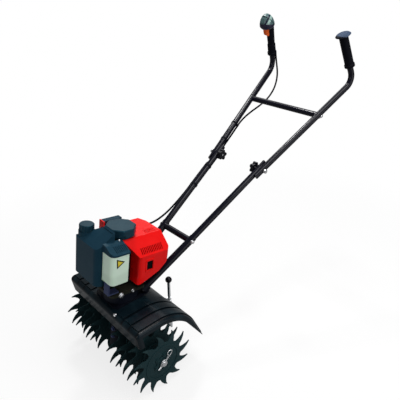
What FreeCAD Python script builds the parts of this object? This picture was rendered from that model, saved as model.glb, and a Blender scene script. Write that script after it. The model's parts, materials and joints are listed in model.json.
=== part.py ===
import FreeCAD, Part
import math
import os

# Walk-behind mini tiller, built piece by piece in millimetres.
# Axes: the machine drives toward -Y, the operator walks at +Y, +X is its left side, +Z is up.
# Engine and gearbox lean back about the axle. They are drawn in a frame (u, v, w) that leans with them:
# u runs to the left, v to the rear and w up from the axle.

Vector = FreeCAD.Vector

# ---- shared values --------------------------------------------------------------------
far_past = 600.0
overcut = 5.0
sink = 1.0
match_tolerance = 0.1
parallel_tolerance = 0.001

# ---- tine rotor -----------------------------------------------------------------------
tine_tip_radius = 113.0
tine_root_radius = 76.0
teeth_per_disc = 12
half_tooth_step_on_floor = 7.5
axle_height = tine_tip_radius * math.cos(math.radians(half_tooth_step_on_floor))
disc_thickness = 3.0
inner_disc_x = 52.0
disc_pitch_x = 48.0
discs_per_side = 4
gullet_depth = 3.0
tooth_bulge_deg = 1.2
tooth_hollow_deg = 2.4
tooth_back_shares = (0.35, 0.7)
tooth_front_shares = (0.65, 0.3)
tine_root_width_share = 0.62
tine_tip_lean_deg = 7.0
tine_tip_flat = 1.6
disc_hub_radius = 38.0
disc_hub_thickness = 3.0
disc_ring_outer_radius = 64.0
disc_ring_inner_radius = 58.0
disc_ring_height = 1.6
hub_plate_radius = 24.0
hub_plate_thickness = 3.0
hub_bolts = 6
hub_bolt_circle_radius = 27.0
hub_bolt_phase_deg = 15.0
hub_lobe_radius = 8.0
hub_bolt_head_radius = 5.0
hub_bolt_head_height = 2.5
hub_tube_radius = 16.0
shaft_radius = 10.0
shaft_running_gap = 0.05
outer_disc_x = inner_disc_x + (discs_per_side - 1) * disc_pitch_x
shaft_end_past_disc = 15.0
shaft_end_chamfer = 1.5
hub_start_x = 40.0
hub_end_past_disc = 6.0
pin_wire_radius = 1.6
pin_hole_gap = 0.2
pin_past_disc = 10.0
pin_tilt_deg = 40.0
pin_eye_reach = 38.0
pin_eye_radius = 9.0
pin_eye_step_deg = 40.0
pin_eye_steps = 7
pin_leg_tail = 26.0
pin_bow_gap = 4.0
pin_bow_shares = ((0.3, 1.0), (-0.7, 0.8))
pin_bow_entry_share = 0.2
pin_bow_rise_share = 0.75
pin_bow_exit_share = 0.3
pin_bow_tail_share = 0.5
wire_sides = 6

# ---- gearbox and clutch ------------------------------------------------------------------
lean_back_deg = 9.0
gear_case_radius = 48.0
gear_case_half_width = 26.0
gear_case_seam_height = 6.0
gear_case_seam_width = 8.0
bearing_boss_radius = 27.0
bearing_boss_x = 37.0
worm_axis_v = -33.0
worm_case_radius = 26.0
worm_case_bottom_w = -42.0
gear_web_half_width = 12.0
gear_web_rear_v = 22.0
gear_case_top_w = 135.0
gear_flange_radius = 42.0
gear_flange_thickness = 9.0
bell_neck_radius = 38.0
bell_radius = 57.0
bell_top_w = 200.0

# ---- fender --------------------------------------------------------------------------
fender_half_width = 195.0
fender_wall = 3.0
fender_lip_bottom_y = -76.0
fender_lip_bottom_z = 212.0
fender_lip_top_y = -86.0
fender_front_roll = 14.0
fender_crown_radius = 160.0
fender_top_z = axle_height + fender_crown_radius
fender_crown_end_deg = 25.0
fender_tail_z = 104.0
fender_side_lip = 18.0
fender_lip_taper_deg = 38.0
fender_side_roll = 9.0
fender_band_height = 3.5
fender_band_width = 29.0
fender_band_pitch = 37.0
fender_first_band_x = 92.5
fender_bands_per_side = 3
fender_band_front_y = -70.0
neck_opening_gap = 1.0

# ---- handle mount ----------------------------------------------------------------------
mount_plate_thickness = 5.0
mount_plate_half_width = 60.0
mount_plate_front_y = -66.0
mount_plate_rear_y = 68.0
mount_plate_corner = 14.0
clamp_start = 4.0
clamp_length = 20.0
clamp_wall = 4.0
clamp_foot_half_width = 12.0
clamp_foot_length = 16.0
clamp_foot_height = 24.0

# ---- engine ------------------------------------------------------------------------------
base_plate_thickness = 8.0
base_top_w = bell_top_w + base_plate_thickness
base_plate_left_u = 66.0
base_plate_right_u = -78.0
base_plate_front_v = -112.0
base_plate_rear_v = 16.0
base_plate_corner = 12.0

shroud_wall = 3.0
shroud_side_u = 75.0
shroud_far_side_u = -84.0
shroud_far_ridge_u = -80.0
shroud_ridge_u = 30.0
shroud_front_v = -22.0
shroud_top_front_v = -58.0
shroud_rear_v = 96.0
shroud_top_rear_v = 89.0
shroud_far_rear_v = 77.0
shroud_far_rear_u = -30.0
shroud_low_middle_v = 20.0
shroud_low_middle_rise = 15.0
shroud_low_rear_v = 57.0
shroud_low_rear_rise = 30.0
shroud_rear_low_v = 87.0
shroud_rear_low_rise = 56.0
shroud_base_gap = 13.0
shroud_bottom_w = base_top_w + shroud_base_gap
shroud_top_w = 369.0
shroud_fold_drop = 49.0
shroud_far_fold_drop = 16.0
shroud_fold_w = shroud_top_w - shroud_fold_drop
shroud_far_fold_w = shroud_top_w - shroud_far_fold_drop
shroud_front_corner = 12.0
shroud_fold_inset_share = 0.4
shroud_rear_corner = 14.0
shroud_slots = 13
shroud_slot_pitch = 6.4
shroud_slot_width = 3.0
shroud_first_slot_v = -8.0
shroud_slot_low_rise = 5.0
shroud_slot_high_rise = 21.0
top_slots = 7
top_slot_pitch = 6.0
top_first_slot_v = 34.0
top_slot_left_u = 24.0
top_slot_right_u = 2.0
vent_v = 18.0
vent_drop = 36.0
vent_w = shroud_fold_w - vent_drop
vent_width = 24.0
vent_height = 32.0
vent_frame = 4.0
vent_frame_height = 2.0
block_gap = 0.4
block_left_u = 28.0
block_right_u = -52.0
block_shoulder = 24.0
block_front_v = -60.0
block_rear_v = 78.0
block_rake_w = 54.0

cheek_front_v = -54.0
cheek_thickness = 3.6
cheek_right_u = -107.0
cheek_drop = 40.0
air_box_gap = 0.3
air_box_left_u = shroud_far_side_u - air_box_gap
air_box_right_u = -107.0
air_box_front_v = cheek_front_v + cheek_thickness + air_box_gap
air_box_rear_v = 16.0
air_box_drop = 51.0
air_box_rise = 15.0
air_box_bottom_w = shroud_top_w - air_box_drop
air_box_top_w = shroud_top_w + air_box_rise
air_box_corner = 7.0

carb_left_u = shroud_far_side_u - air_box_gap
carb_right_u = -106.0
carb_front_v = air_box_rear_v
carb_rear_v = 62.0
carb_bottom_drop = 69.0
carb_top_drop = 23.0
carb_bottom_w = shroud_top_w - carb_bottom_drop
carb_top_w = shroud_top_w - carb_top_drop
carb_corner = 5.0

starter_radius = 48.0
starter_sides = 8
starter_corner = 10.0
starter_rim_chamfer = 2.5
starter_collar_radius = 36.0
starter_collar_height = 9.0
starter_cap_height = 25.0
starter_notch_width = 9.0
starter_notch_depth = 7.0
starter_notch_height = 7.0
starter_notch_turns_deg = (-20.0, -80.0, -150.0)
starter_u = -8.0
starter_v = -40.0
starter_bottom_w = shroud_top_w
starter_collar_top_w = starter_bottom_w + starter_collar_height
starter_top_w = starter_collar_top_w + starter_cap_height

tank_left_u = 80.0
tank_right_u = -100.0
tank_front_v = -125.0
tank_rear_v = -64.0
tank_base_gap = 44.0
tank_top_drop = 17.0
tank_bottom_w = base_top_w + tank_base_gap
tank_top_w = shroud_top_w - tank_top_drop
tank_front_corner = 16.0
tank_rear_corner = 6.0
tank_bottom_chamfer = 5.0
tank_gap = 0.8
filler_u = -78.0
filler_v = -116.0
filler_radius = 18.0
filler_height = 23.0
filler_top_w = tank_top_w + filler_height
filler_gap = 1.5
fuel_cap_radius = 23.5
fuel_cap_height = 21.0
fuel_cap_chamfer = 2.5
fuel_cap_flutes = 16
fuel_cap_flute_depth = 1.6

cover_left_u = 30.0
cover_right_u = -108.0
cover_front_v = -144.0
cover_rear_v = -86.0
cover_base_gap = 24.0
cover_front_drop = 14.0
cover_far_drop = 19.0
cover_ridge_rise = 31.0
cover_bottom_w = base_top_w + cover_base_gap
cover_front_top_w = shroud_top_w - cover_front_drop
cover_ridge_w = shroud_top_w + cover_ridge_rise
cover_far_ridge_u = -26.0
cover_far_top_w = shroud_top_w - cover_far_drop
cover_corner = 22.0
cover_wall = 3.0
cover_rim_width = 4.0
cover_rim_height = 3.0
cover_rim_edge = 1.0
cover_rear_open = 2.0
cover_collar_radius = 25.0
cover_collar_gap = 1.0

tank_rest_left_u = 56.0
tank_rest_right_u = 31.0
tank_rest_front_v = -118.0
tank_rest_rear_v = -80.0
tank_rest_sheet = 4.0

shoulder_overhang = 1.5
shoulder_inner_rise = 25.0
shoulder_ledge_rise = 23.0
shoulder_lip_rise = 5.0
shoulder_inner_w = tank_top_w + shoulder_inner_rise
shoulder_ledge_u = 44.0
shoulder_ledge_w = tank_top_w + shoulder_ledge_rise
shoulder_lip_w = tank_top_w + shoulder_lip_rise
shoulder_slots = 7
shoulder_slot_pitch = 6.0
shoulder_first_slot_v = -70.0
shoulder_slot_width = 2.6
shoulder_slot_depth = 2.0
shoulder_slot_lip_margin = 6.0
shoulder_slot_ledge_margin = 8.0

# ---- handlebars: left-hand joints of the tubes, as distances left, rearward and up ---------
tube_radius = 11.0
base_tube_radius = 12.5
joint_sleeve = 16.0
base_foot_x = 45.3
base_foot_y = 45.1
base_foot_z = 283.1
lower_joint_x = 69.3
lower_joint_y = 236.3
lower_joint_z = 399.4
pivot_x = 109.0
pivot_y = 535.0
pivot_z = 581.0
upper_joint_x = 161.1
upper_joint_y = 788.2
upper_joint_z = 733.3
bend_x = 185.7
bend_y = 943.7
bend_z = 837.6
grip_aim_x = 159.5
grip_aim_y = 868.0
grip_aim_z = 1010.0
base_tube_foot = Vector(base_foot_x, base_foot_y, base_foot_z)
lower_crossbar = Vector(lower_joint_x, lower_joint_y, lower_joint_z)
fold_pivot = Vector(pivot_x, pivot_y, pivot_z)
upper_crossbar = Vector(upper_joint_x, upper_joint_y, upper_joint_z)
handle_bend = Vector(bend_x, bend_y, bend_z)
grip_aim = Vector(grip_aim_x, grip_aim_y, grip_aim_z)
lap_half_gap = 0.3
lap_flat_depth = 4.0
lap_tail = 34.0
lap_cut_reach = 120.0
bend_radius = 42.0
grip_foot_from_bend = 60.0
grip_radius = 16.0
grip_collar_radius = 18.5
grip_collar_height = 9.0
grip_waist_depth = 2.0
grip_waist_low_share = 0.34
grip_waist_high_share = 0.37
grip_cap_crown_share = 0.6
grip_cap_shoulder_share = 0.85
grip_cap_radius = 27.0
grip_cap_height = 12.0
grip_length = 128.0
tube_in_grip = 118.0
knob_radius = 20.0
knob_thickness = 14.0
knob_washer_gap = 3.0
knob_lobes = 5
knob_core_share = 0.72
knob_lobe_centre_share = 0.68
knob_lobe_share = 0.34
pivot_bolt_radius = 4.0
pivot_bolt_length = 54.0
pivot_bolt_inboard = 34.0
bolt_head_radius = 7.5
bolt_head_height = 6.0
pod_length = 52.0
pod_radius = 29.0
pod_offset = 14.0
pod_profile = ((0.0, 0.0), (0.86, 0.0), (1.0, 0.12), (0.98, 0.3), (0.86, 0.55), (0.64, 0.78), (0.34, 0.94),
               (0.0, 1.0))
pod_groove_width = 4.0
pod_groove_share = 0.93
pod_groove_tilt_deg = 30.0
trigger_length = 36.0
trigger_width = 14.0
trigger_reach = 20.0
trigger_sink = 4.0
trigger_heel_share = 0.45
trigger_tip_share = 0.9
trigger_tip_rise_share = 0.25

# ---- throttle cable: corner points of its route on the right side -------------------------
cable_radius = 2.5
cable_turn_share = 0.45
tie_length = 7.0
tie_wall = 1.6
upper_cable_route = [
    Vector(-167.3, 929.9, 894.9), Vector(-172.5, 945.0, 860.4), Vector(-166.0, 955.0, 805.0),
    Vector(-158.0, 932.0, 756.0), Vector(-150.0, 885.0, 722.0), Vector(-142.0, 822.0, 702.0),
    Vector(-136.5, 760.0, 690.0), Vector(-132.3, 695.5, 668.4), Vector(-122.2, 642.6, 635.0),
    Vector(-114.4, 594.7, 607.8)]
lower_cable_route = [
    Vector(-109.8, 479.4, 547.2), Vector(-104.8, 423.2, 513.0), Vector(-98.0, 372.2, 482.0),
    Vector(-96.0, 322.0, 452.0), Vector(-95.0, 268.0, 424.0), Vector(-95.0, 215.0, 410.0),
    Vector(-95.0, 171.0, 414.0), Vector(-95.0, 112.1, 423.3)]

# ---- depth stake ---------------------------------------------------------------------------
stake_y = 192.0
stake_half_width = 10.0
stake_half_depth = 3.0
stake_bar_top_z = 132.0
stake_shoulder = 6.0
stake_gap = 0.6
stake_rod_radius = 5.5
stake_rod_depth = 10.0
stake_cheek_radius = 7.5
stake_cheek_height = 12.0
stake_knob_radius = 12.0
stake_knob_z = 219.0
knob_steps = 8
sleeve_wall = 4.0
sleeve_bottom_z = 48.0
sleeve_top_z = 92.0
sleeve_arm_low_z = 62.0
sleeve_arm_high_z = 80.0
sleeve_arm_half_width = 9.0

# the row stands with its footprint centred on the origin
row_middle_y = 417.0


def leaning(shape):
    """Tilt a piece drawn in the engine's own frame back about the axle."""
    tilted = shape.copy()
    turn = FreeCAD.Rotation(Vector(1, 0, 0), -lean_back_deg)
    tilted.Placement = FreeCAD.Placement(Vector(0, 0, axle_height), turn).multiply(tilted.Placement)
    return tilted


def box(x_low, x_high, y_low, y_high, z_low, z_high):
    """Make a straight block between the given limits."""
    size = (x_high - x_low, y_high - y_low, z_high - z_low)
    return Part.makeBox(size[0], size[1], size[2], Vector(x_low, y_low, z_low))


def side_prism(outline, x_low, x_high):
    """Extrude an outline drawn as (y, z) pairs across the machine."""
    corners = [Vector(x_low, y, z) for y, z in outline]
    face = Part.Face(Part.makePolygon(corners + [corners[0]]))
    return face.extrude(Vector(x_high - x_low, 0, 0))


def front_prism(outline, y_low, y_high):
    """Extrude an outline drawn as (x, z) pairs along the machine."""
    corners = [Vector(x, y_low, z) for x, z in outline]
    face = Part.Face(Part.makePolygon(corners + [corners[0]]))
    return face.extrude(Vector(0, y_high - y_low, 0))


def edges_along(shape, direction, pick):
    """List the straight edges that run along a direction and pass a test on their middle."""
    found = []
    for edge in shape.Edges:
        if not isinstance(edge.Curve, Part.Line):
            continue
        ends = [vertex.Point for vertex in edge.Vertexes]
        run = ends[1] - ends[0]
        if run.Length > 0 and abs(abs(run.normalize().dot(direction)) - 1) < parallel_tolerance:
            middle = edge.CenterOfMass
            if pick(middle):
                found.append(edge)
    return found


def above_level(level):
    """All the room over a level."""
    return box(-far_past, far_past, -far_past, far_past, level, level + far_past)


def rod(start, end, radius):
    """Make a round bar from one point to another."""
    run = end - start
    return Part.makeCylinder(radius, run.Length, start, run)


def faceted_wire(points, radius):
    """A six-sided wire bent along a chain of points."""
    run = (points[1] - points[0]).normalize()
    aside = Vector(1, 0, 0)
    other = run.cross(aside)
    corners = []
    for index in range(wire_sides + 1):
        turn = 2 * math.pi * index / wire_sides
        corners.append(points[0] + aside * (radius * math.cos(turn)) + other * (radius * math.sin(turn)))
    profile = Part.makePolygon(corners)
    return Part.makePolygon(points).makePipeShell([profile], True, False, 1)


def tube_path(points, radii):
    """Join straight runs with tangent bends."""
    edges = []
    here = points[0]
    for index in range(1, len(points) - 1):
        corner = points[index]
        back = (points[index - 1] - corner).normalize()
        ahead = (points[index + 1] - corner).normalize()
        half_turn = (math.pi - back.getAngle(ahead)) / 2
        reach = radii[index - 1] * math.tan(half_turn)
        start = corner + back * reach
        end = corner + ahead * reach
        bisector = (back + ahead).normalize()
        middle = corner + bisector * (radii[index - 1] / math.cos(half_turn) - radii[index - 1])
        edges.append(Part.makeLine(here, start))
        edges.append(Part.Arc(start, middle, end).toShape())
        here = end
    edges.append(Part.makeLine(here, points[-1]))
    return Part.Wire(edges)


def turned(outline, base, run):
    """Turn an outline of (radius, height) pairs into a solid standing on a base point."""
    corners = [Vector(radius, 0, height) for radius, height in outline]
    face = Part.Face(Part.makePolygon(corners + [corners[0]]))
    solid = face.revolve(Vector(0, 0, 0), Vector(0, 0, 1), 360)
    solid.Placement = FreeCAD.Placement(base, FreeCAD.Rotation(Vector(0, 0, 1), run))
    return solid


def bent_bar(points, radii, radius):
    """Sweep a round section along a bent path."""
    path = tube_path(points, radii)
    direction = points[1] - points[0]
    section = Part.Wire([Part.makeCircle(radius, points[0], direction)])
    return path.makePipeShell([section], True, True)


def mirrored(shape):
    """Copy a left-hand piece to the right-hand side."""
    return shape.mirror(Vector(0, 0, 0), Vector(1, 0, 0))


def joined(shapes):
    """Fuse a list of shapes and drop the seams between flush faces."""
    first = shapes[0]
    return first.fuse(shapes[1:]).removeSplitter()


# ---- rotor ------------------------------------------------------------------------------------

def tooth_outline(centre_deg):
    """Corners of one hooked tooth and the gullet after it, as (angle, radius) pairs."""
    step = 360.0 / teeth_per_disc
    half_root = step * tine_root_width_share / 2
    root_deg = centre_deg - tine_tip_lean_deg
    flat_deg = math.degrees(tine_tip_flat / tine_tip_radius)
    reach = tine_tip_radius - tine_root_radius
    back_start, front_start = root_deg - half_root, root_deg + half_root
    back_tip, front_tip = centre_deg - flat_deg / 2, centre_deg + flat_deg / 2
    outline = [(back_start, tine_root_radius)]
    for share in tooth_back_shares:
        bulge = tooth_bulge_deg * 4 * share * (1 - share)
        angle = back_start + (back_tip - back_start) * share - bulge
        outline.append((angle, tine_root_radius + reach * share))
    outline.append((back_tip, tine_tip_radius))
    outline.append((front_tip, tine_tip_radius))
    for share in tooth_front_shares:
        hollow = tooth_hollow_deg * 4 * share * (1 - share)
        angle = front_start + (front_tip - front_start) * share - hollow
        outline.append((angle, tine_root_radius + reach * share))
    outline.append((front_start, tine_root_radius))
    outline.append((root_deg + step / 2, tine_root_radius - gullet_depth))
    return outline


def tine_disc(x_middle, phase_deg):
    """A flat star disc with swept-back teeth, standing across the axle."""
    corners = []
    for tooth in range(teeth_per_disc):
        for angle, radius in tooth_outline(phase_deg + tooth * 360.0 / teeth_per_disc):
            turn = math.radians(angle)
            corners.append(Vector(x_middle - disc_thickness / 2, radius * math.cos(turn),
                                  axle_height + radius * math.sin(turn)))
    face = Part.Face(Part.makePolygon(corners + [corners[0]]))
    return face.extrude(Vector(disc_thickness, 0, 0))


def on_axle(radius, x_low, x_high):
    """A round bar on the axle between two distances across the machine."""
    low, high = min(x_low, x_high), max(x_low, x_high)
    return Part.makeCylinder(radius, high - low, Vector(low, 0, axle_height), Vector(1, 0, 0))


def hexagon_on_axle(radius, x_low, x_high):
    """A hexagonal bar on the axle between two distances across the machine."""
    low, high = min(x_low, x_high), max(x_low, x_high)
    corners = []
    for index in range(7):
        turn = math.pi * index / 3
        corners.append(Vector(low, radius * math.cos(turn), axle_height + radius * math.sin(turn)))
    return Part.Face(Part.makePolygon(corners)).extrude(Vector(high - low, 0, 0))


def outer_face_detail(side):
    """Pressed ring and lobed hub plate on the outside of an outermost disc."""
    face_x = side * (outer_disc_x + disc_thickness / 2)
    ring_x = face_x + side * disc_ring_height
    plate_x = face_x + side * hub_plate_thickness
    buried = side * disc_thickness / 2
    ring = on_axle(disc_ring_outer_radius, face_x - buried, ring_x)
    ring = ring.cut(on_axle(disc_ring_inner_radius, face_x - 2 * buried, ring_x + buried))
    details = [ring, on_axle(hub_plate_radius, face_x - buried, plate_x)]
    for index in range(hub_bolts):
        turn = math.radians(360.0 * index / hub_bolts + hub_bolt_phase_deg)
        offset = Vector(0, hub_bolt_circle_radius * math.cos(turn), hub_bolt_circle_radius * math.sin(turn))
        lobe = on_axle(hub_lobe_radius, face_x - buried, plate_x)
        lobe.translate(offset)
        head = hexagon_on_axle(hub_bolt_head_radius, face_x, plate_x + side * hub_bolt_head_height)
        head.translate(offset)
        details.extend([lobe, head])
    return details


def tine_set(side):
    """Four star discs on one hub tube; side is +1 for left and -1 for right."""
    step = 360.0 / teeth_per_disc
    outermost_phase = half_tooth_step_on_floor if side > 0 else half_tooth_step_on_floor + step / 2
    pieces = outer_face_detail(side)
    for index in range(discs_per_side):
        x_here = side * (inner_disc_x + index * disc_pitch_x)
        turned = (discs_per_side - 1 - index) % 2
        pieces.append(tine_disc(x_here, outermost_phase + turned * step / 2))
        half_collar = disc_thickness / 2 + disc_hub_thickness
        if index < discs_per_side - 1:
            pieces.append(on_axle(disc_hub_radius, x_here - half_collar, x_here + half_collar))
    hub_end_x = outer_disc_x + hub_end_past_disc
    pieces.append(on_axle(hub_tube_radius, side * hub_start_x, side * hub_end_x))
    bore = on_axle(shaft_radius + shaft_running_gap, side * (hub_start_x - overcut),
                   side * (hub_end_x + overcut))
    return joined(pieces).cut(bore)


def output_shaft():
    """The cross shaft that carries both tine sets."""
    end_x = outer_disc_x + shaft_end_past_disc
    bar = on_axle(shaft_radius, -end_x, end_x)
    rims = [edge for edge in bar.Edges if abs(edge.CenterOfMass.x) > end_x - sink]
    bar = bar.makeChamfer(shaft_end_chamfer, [edge for edge in rims if edge.BoundBox.YLength > shaft_radius])
    for side in (1, -1):
        hole = Part.makeCylinder(pin_wire_radius + pin_hole_gap, 4 * shaft_radius,
                                 Vector(side * (outer_disc_x + pin_past_disc), 0, -2 * shaft_radius))
        hole.rotate(Vector(0, 0, 0), Vector(1, 0, 0), pin_tilt_deg - 90)
        hole.translate(Vector(0, 0, axle_height))
        bar = bar.cut(hole)
    return bar


def pin_outline():
    """Centre line of a retaining clip: a leg through the shaft, an eye, and a leg bowed round the shaft."""
    eye_centre = pin_eye_reach
    points = [(-pin_leg_tail, 0.0), (eye_centre, 0.0)]
    for step in range(1, pin_eye_steps + 1):
        turn = math.radians(step * pin_eye_step_deg - 90)
        points.append((eye_centre + pin_eye_radius * math.cos(turn),
                       pin_eye_radius + pin_eye_radius * math.sin(turn)))
    bow = shaft_radius + 2 * pin_wire_radius
    near_shaft = shaft_radius + pin_bow_gap
    points.extend([(near_shaft, pin_bow_entry_share * bow), (shaft_radius, pin_bow_rise_share * bow)])
    points.extend([(along * shaft_radius, off * bow) for along, off in pin_bow_shares])
    points.extend([(-near_shaft, pin_bow_exit_share * bow), (-pin_leg_tail, pin_bow_tail_share * bow)])
    return points


def hitch_pins():
    """A bent wire clip across each end of the shaft."""
    pins = []
    tilt = math.radians(pin_tilt_deg)
    for side in (1, -1):
        x_here = side * (outer_disc_x + pin_past_disc)
        path = []
        for along, off in pin_outline():
            path.append(Vector(x_here, along * math.cos(tilt) - off * math.sin(tilt),
                               axle_height + along * math.sin(tilt) + off * math.cos(tilt)))
        pins.append(path)
    return Part.makeCompound([faceted_wire(path, pin_wire_radius) for path in pins])


# ---- gearbox and clutch --------------------------------------------------------------------------

def gearbox_housing():
    """Worm gear case: a round case on the axle and an upright worm case ahead of it."""
    across = Vector(1, 0, 0)
    case = Part.makeCylinder(gear_case_radius, 2 * gear_case_half_width,
                             Vector(-gear_case_half_width, 0, 0), across)
    boss = Part.makeCylinder(bearing_boss_radius, 2 * bearing_boss_x, Vector(-bearing_boss_x, 0, 0), across)
    upright = Part.makeCylinder(worm_case_radius, gear_case_top_w - worm_case_bottom_w,
                                Vector(0, worm_axis_v, worm_case_bottom_w))
    web = box(-gear_web_half_width, gear_web_half_width, worm_axis_v, gear_web_rear_v, 0,
              gear_case_top_w - gear_flange_thickness)
    flange = Part.makeCylinder(gear_flange_radius, gear_flange_thickness,
                               Vector(0, worm_axis_v, gear_case_top_w - gear_flange_thickness))
    seam = Part.makeCylinder(gear_case_radius + gear_case_seam_height, gear_case_seam_width,
                             Vector(-gear_case_seam_width / 2, 0, 0), across)
    case = joined([case, boss, upright, web, flange, seam])
    bore = Part.makeCylinder(shaft_radius + shaft_running_gap, 4 * bearing_boss_x,
                             Vector(-2 * bearing_boss_x, 0, 0), across)
    return leaning(case.cut(bore))


def clutch_housing():
    """Clutch bell between the worm case and the engine, with a level foot on the mount plate."""
    neck = Part.makeCylinder(bell_neck_radius, bell_top_w - gear_case_top_w,
                             Vector(0, worm_axis_v, gear_case_top_w))
    bell = Part.makeCylinder(bell_radius, bell_top_w - gear_case_top_w,
                             Vector(0, worm_axis_v, gear_case_top_w))
    bell = leaning(bell)
    level = fender_top_z + mount_plate_thickness
    return joined([leaning(neck), bell.common(above_level(level))])


# ---- fender --------------------------------------------------------------------------------------

def offset_corners(corners, inset):
    """Move an open chain of (y, z) corners inward, to the right of its direction of travel."""
    moved = []
    last = len(corners) - 1
    for index, corner in enumerate(corners):
        back = (corner - corners[index - 1]).normalize() if index > 0 else None
        ahead = (corners[index + 1] - corner).normalize() if index < last else None
        if back is None:
            inward = Vector(0, ahead.z, -ahead.y)
            moved.append(corner + inward * inset)
        elif ahead is None:
            inward = Vector(0, back.z, -back.y)
            moved.append(corner + inward * inset)
        else:
            mean = (back + ahead).normalize()
            inward = Vector(0, mean.z, -mean.y)
            moved.append(corner + inward * (inset / mean.dot(back)))
    return moved


def fender_line(inset):
    """The fender's side line as a wire, moved inward by the given amount."""
    fall_deg = math.radians(fender_crown_end_deg)
    fall = Vector(0, math.sin(fall_deg), -math.cos(fall_deg))
    crown_end = Vector(0, fender_crown_radius * math.cos(fall_deg),
                       axle_height + fender_crown_radius * math.sin(fall_deg))
    apex = crown_end + fall * ((crown_end.z - fender_top_z) / -fall.z)
    tail = crown_end + fall * ((crown_end.z - fender_tail_z) / -fall.z)
    corners = [Vector(0, fender_lip_bottom_y, fender_lip_bottom_z), Vector(0, fender_lip_top_y, fender_top_z),
               apex, tail]
    front_roll = max(fender_front_roll - inset, fender_wall)
    return tube_path(offset_corners(corners, inset), [front_roll, fender_crown_radius - inset])


def fender_sheet(outer_inset, inner_inset, x_low, x_high):
    """Fill the band between two side lines and give it a width."""
    outer = fender_line(outer_inset)
    inner = fender_line(inner_inset)
    ends = []
    for index in (0, -1):
        ends.append(Part.makeLine(outer.OrderedVertexes[index].Point, inner.OrderedVertexes[index].Point))
    face = Part.Face(Part.Wire(Part.__sortEdges__(outer.Edges + inner.Edges + ends)))
    face.translate(Vector(x_low, 0, 0))
    return face.extrude(Vector(x_high - x_low, 0, 0))


def fender_hood():
    """The plain hood: a thick sheet whose long side edges are rolled down to the side lips."""
    block = fender_sheet(0.0, fender_side_lip, -fender_half_width, fender_half_width)
    rims = []
    for edge in block.Edges:
        off_side = abs(abs(edge.BoundBox.XMin) - fender_half_width)
        on_side = off_side < match_tolerance and edge.BoundBox.XLength < match_tolerance
        outer_line = fender_line(0.0)
        if on_side and outer_line.distToShape(edge)[0] > fender_half_width - sink:
            probe = edge.valueAt((edge.FirstParameter + edge.LastParameter) / 2)
            probe.x = 0
            if outer_line.distToShape(Part.Vertex(probe))[0] < match_tolerance:
                rims.append(edge)
    block = block.makeFillet(fender_side_roll, rims)
    hollow = fender_sheet(fender_wall, 2 * fender_side_lip, fender_wall - fender_half_width,
                          fender_half_width - fender_wall)
    return block.cut(hollow).cut(lip_taper())


def lip_taper():
    """What is cut from the side lips so that they run out to nothing at the tail."""
    inner = fender_crown_radius - fender_side_lip
    turn = math.radians(fender_lip_taper_deg)
    start = Vector(0, inner * math.cos(turn), axle_height + inner * math.sin(turn))
    tail = fender_line(fender_wall).OrderedVertexes[-1].Point
    run = (tail - start).normalize()
    end = tail + run * overcut
    inward = Vector(0, run.z, -run.y)
    corners = [start - run * overcut, end, end + inward * far_past, start - run * overcut + inward * far_past]
    outline = [(corner.y, corner.z) for corner in corners]
    return side_prism(outline, -far_past, far_past)


def fender_body():
    """Hooped fender over the tines, open below, with raised bands along its top and tail."""
    hood = fender_hood()
    bands = []
    keep = box(-far_past, far_past, fender_band_front_y, far_past, 0, far_past)
    for side in (1, -1):
        for index in range(fender_bands_per_side):
            x_middle = side * (fender_first_band_x + index * fender_band_pitch)
            band = fender_sheet(-fender_band_height, fender_wall / 2, x_middle - fender_band_width / 2,
                                x_middle + fender_band_width / 2)
            bands.append(band.common(keep))
    hood = joined([hood] + bands)
    opening = leaning(Part.makeCylinder(bell_neck_radius + neck_opening_gap, 2 * bell_top_w,
                                        Vector(0, worm_axis_v, 0)))
    return hood.cut(opening)


# ---- handle mount --------------------------------------------------------------------------------

def base_tube_axis():
    """Unit direction of the left base tube, from its foot to the lower crossbar."""
    return (lower_crossbar - base_tube_foot).normalize()


def handle_mount():
    """Steel plate on the fender with two saddles that clamp the base tubes."""
    level = fender_top_z
    plate = box(-mount_plate_half_width, mount_plate_half_width, mount_plate_front_y, mount_plate_rear_y,
                level, level + mount_plate_thickness)
    plate = plate.makeFillet(mount_plate_corner, edges_along(plate, Vector(0, 0, 1), lambda middle: True))
    axis = base_tube_axis()
    saddles = []
    for side in (1, -1):
        start = Vector(side * base_tube_foot.x, base_tube_foot.y, base_tube_foot.z)
        run = Vector(side * axis.x, axis.y, axis.z)
        sleeve_start = start + run * clamp_start
        sleeve = Part.makeCylinder(base_tube_radius + clamp_wall, clamp_length, sleeve_start, run)
        foot_y = base_tube_foot.y + clamp_start
        foot_x = side * base_tube_foot.x
        foot = box(foot_x - clamp_foot_half_width, foot_x + clamp_foot_half_width,
                   foot_y, foot_y + clamp_foot_length, level, level + clamp_foot_height)
        saddles.append(sleeve)
        saddles.append(foot)
    body = plate.fuse(saddles)
    for side in (1, -1):
        start = Vector(side * base_tube_foot.x, base_tube_foot.y, base_tube_foot.z)
        run = Vector(side * axis.x, axis.y, axis.z)
        body = body.cut(Part.makeCylinder(base_tube_radius, far_past, start, run))
    opening = leaning(Part.makeCylinder(bell_neck_radius + neck_opening_gap, 2 * bell_top_w,
                                        Vector(0, worm_axis_v, 0)))
    return body.cut(opening).common(above_level(level)).removeSplitter()


# ---- engine --------------------------------------------------------------------------------------

def engine_base():
    """Flat plate under the engine, bolted on the clutch bell."""
    plate = box(base_plate_right_u, base_plate_left_u, base_plate_front_v, base_plate_rear_v,
                bell_top_w, base_top_w)
    corners = edges_along(plate, Vector(0, 0, 1), lambda middle: True)
    return leaning(plate.makeFillet(base_plate_corner, corners))


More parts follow.
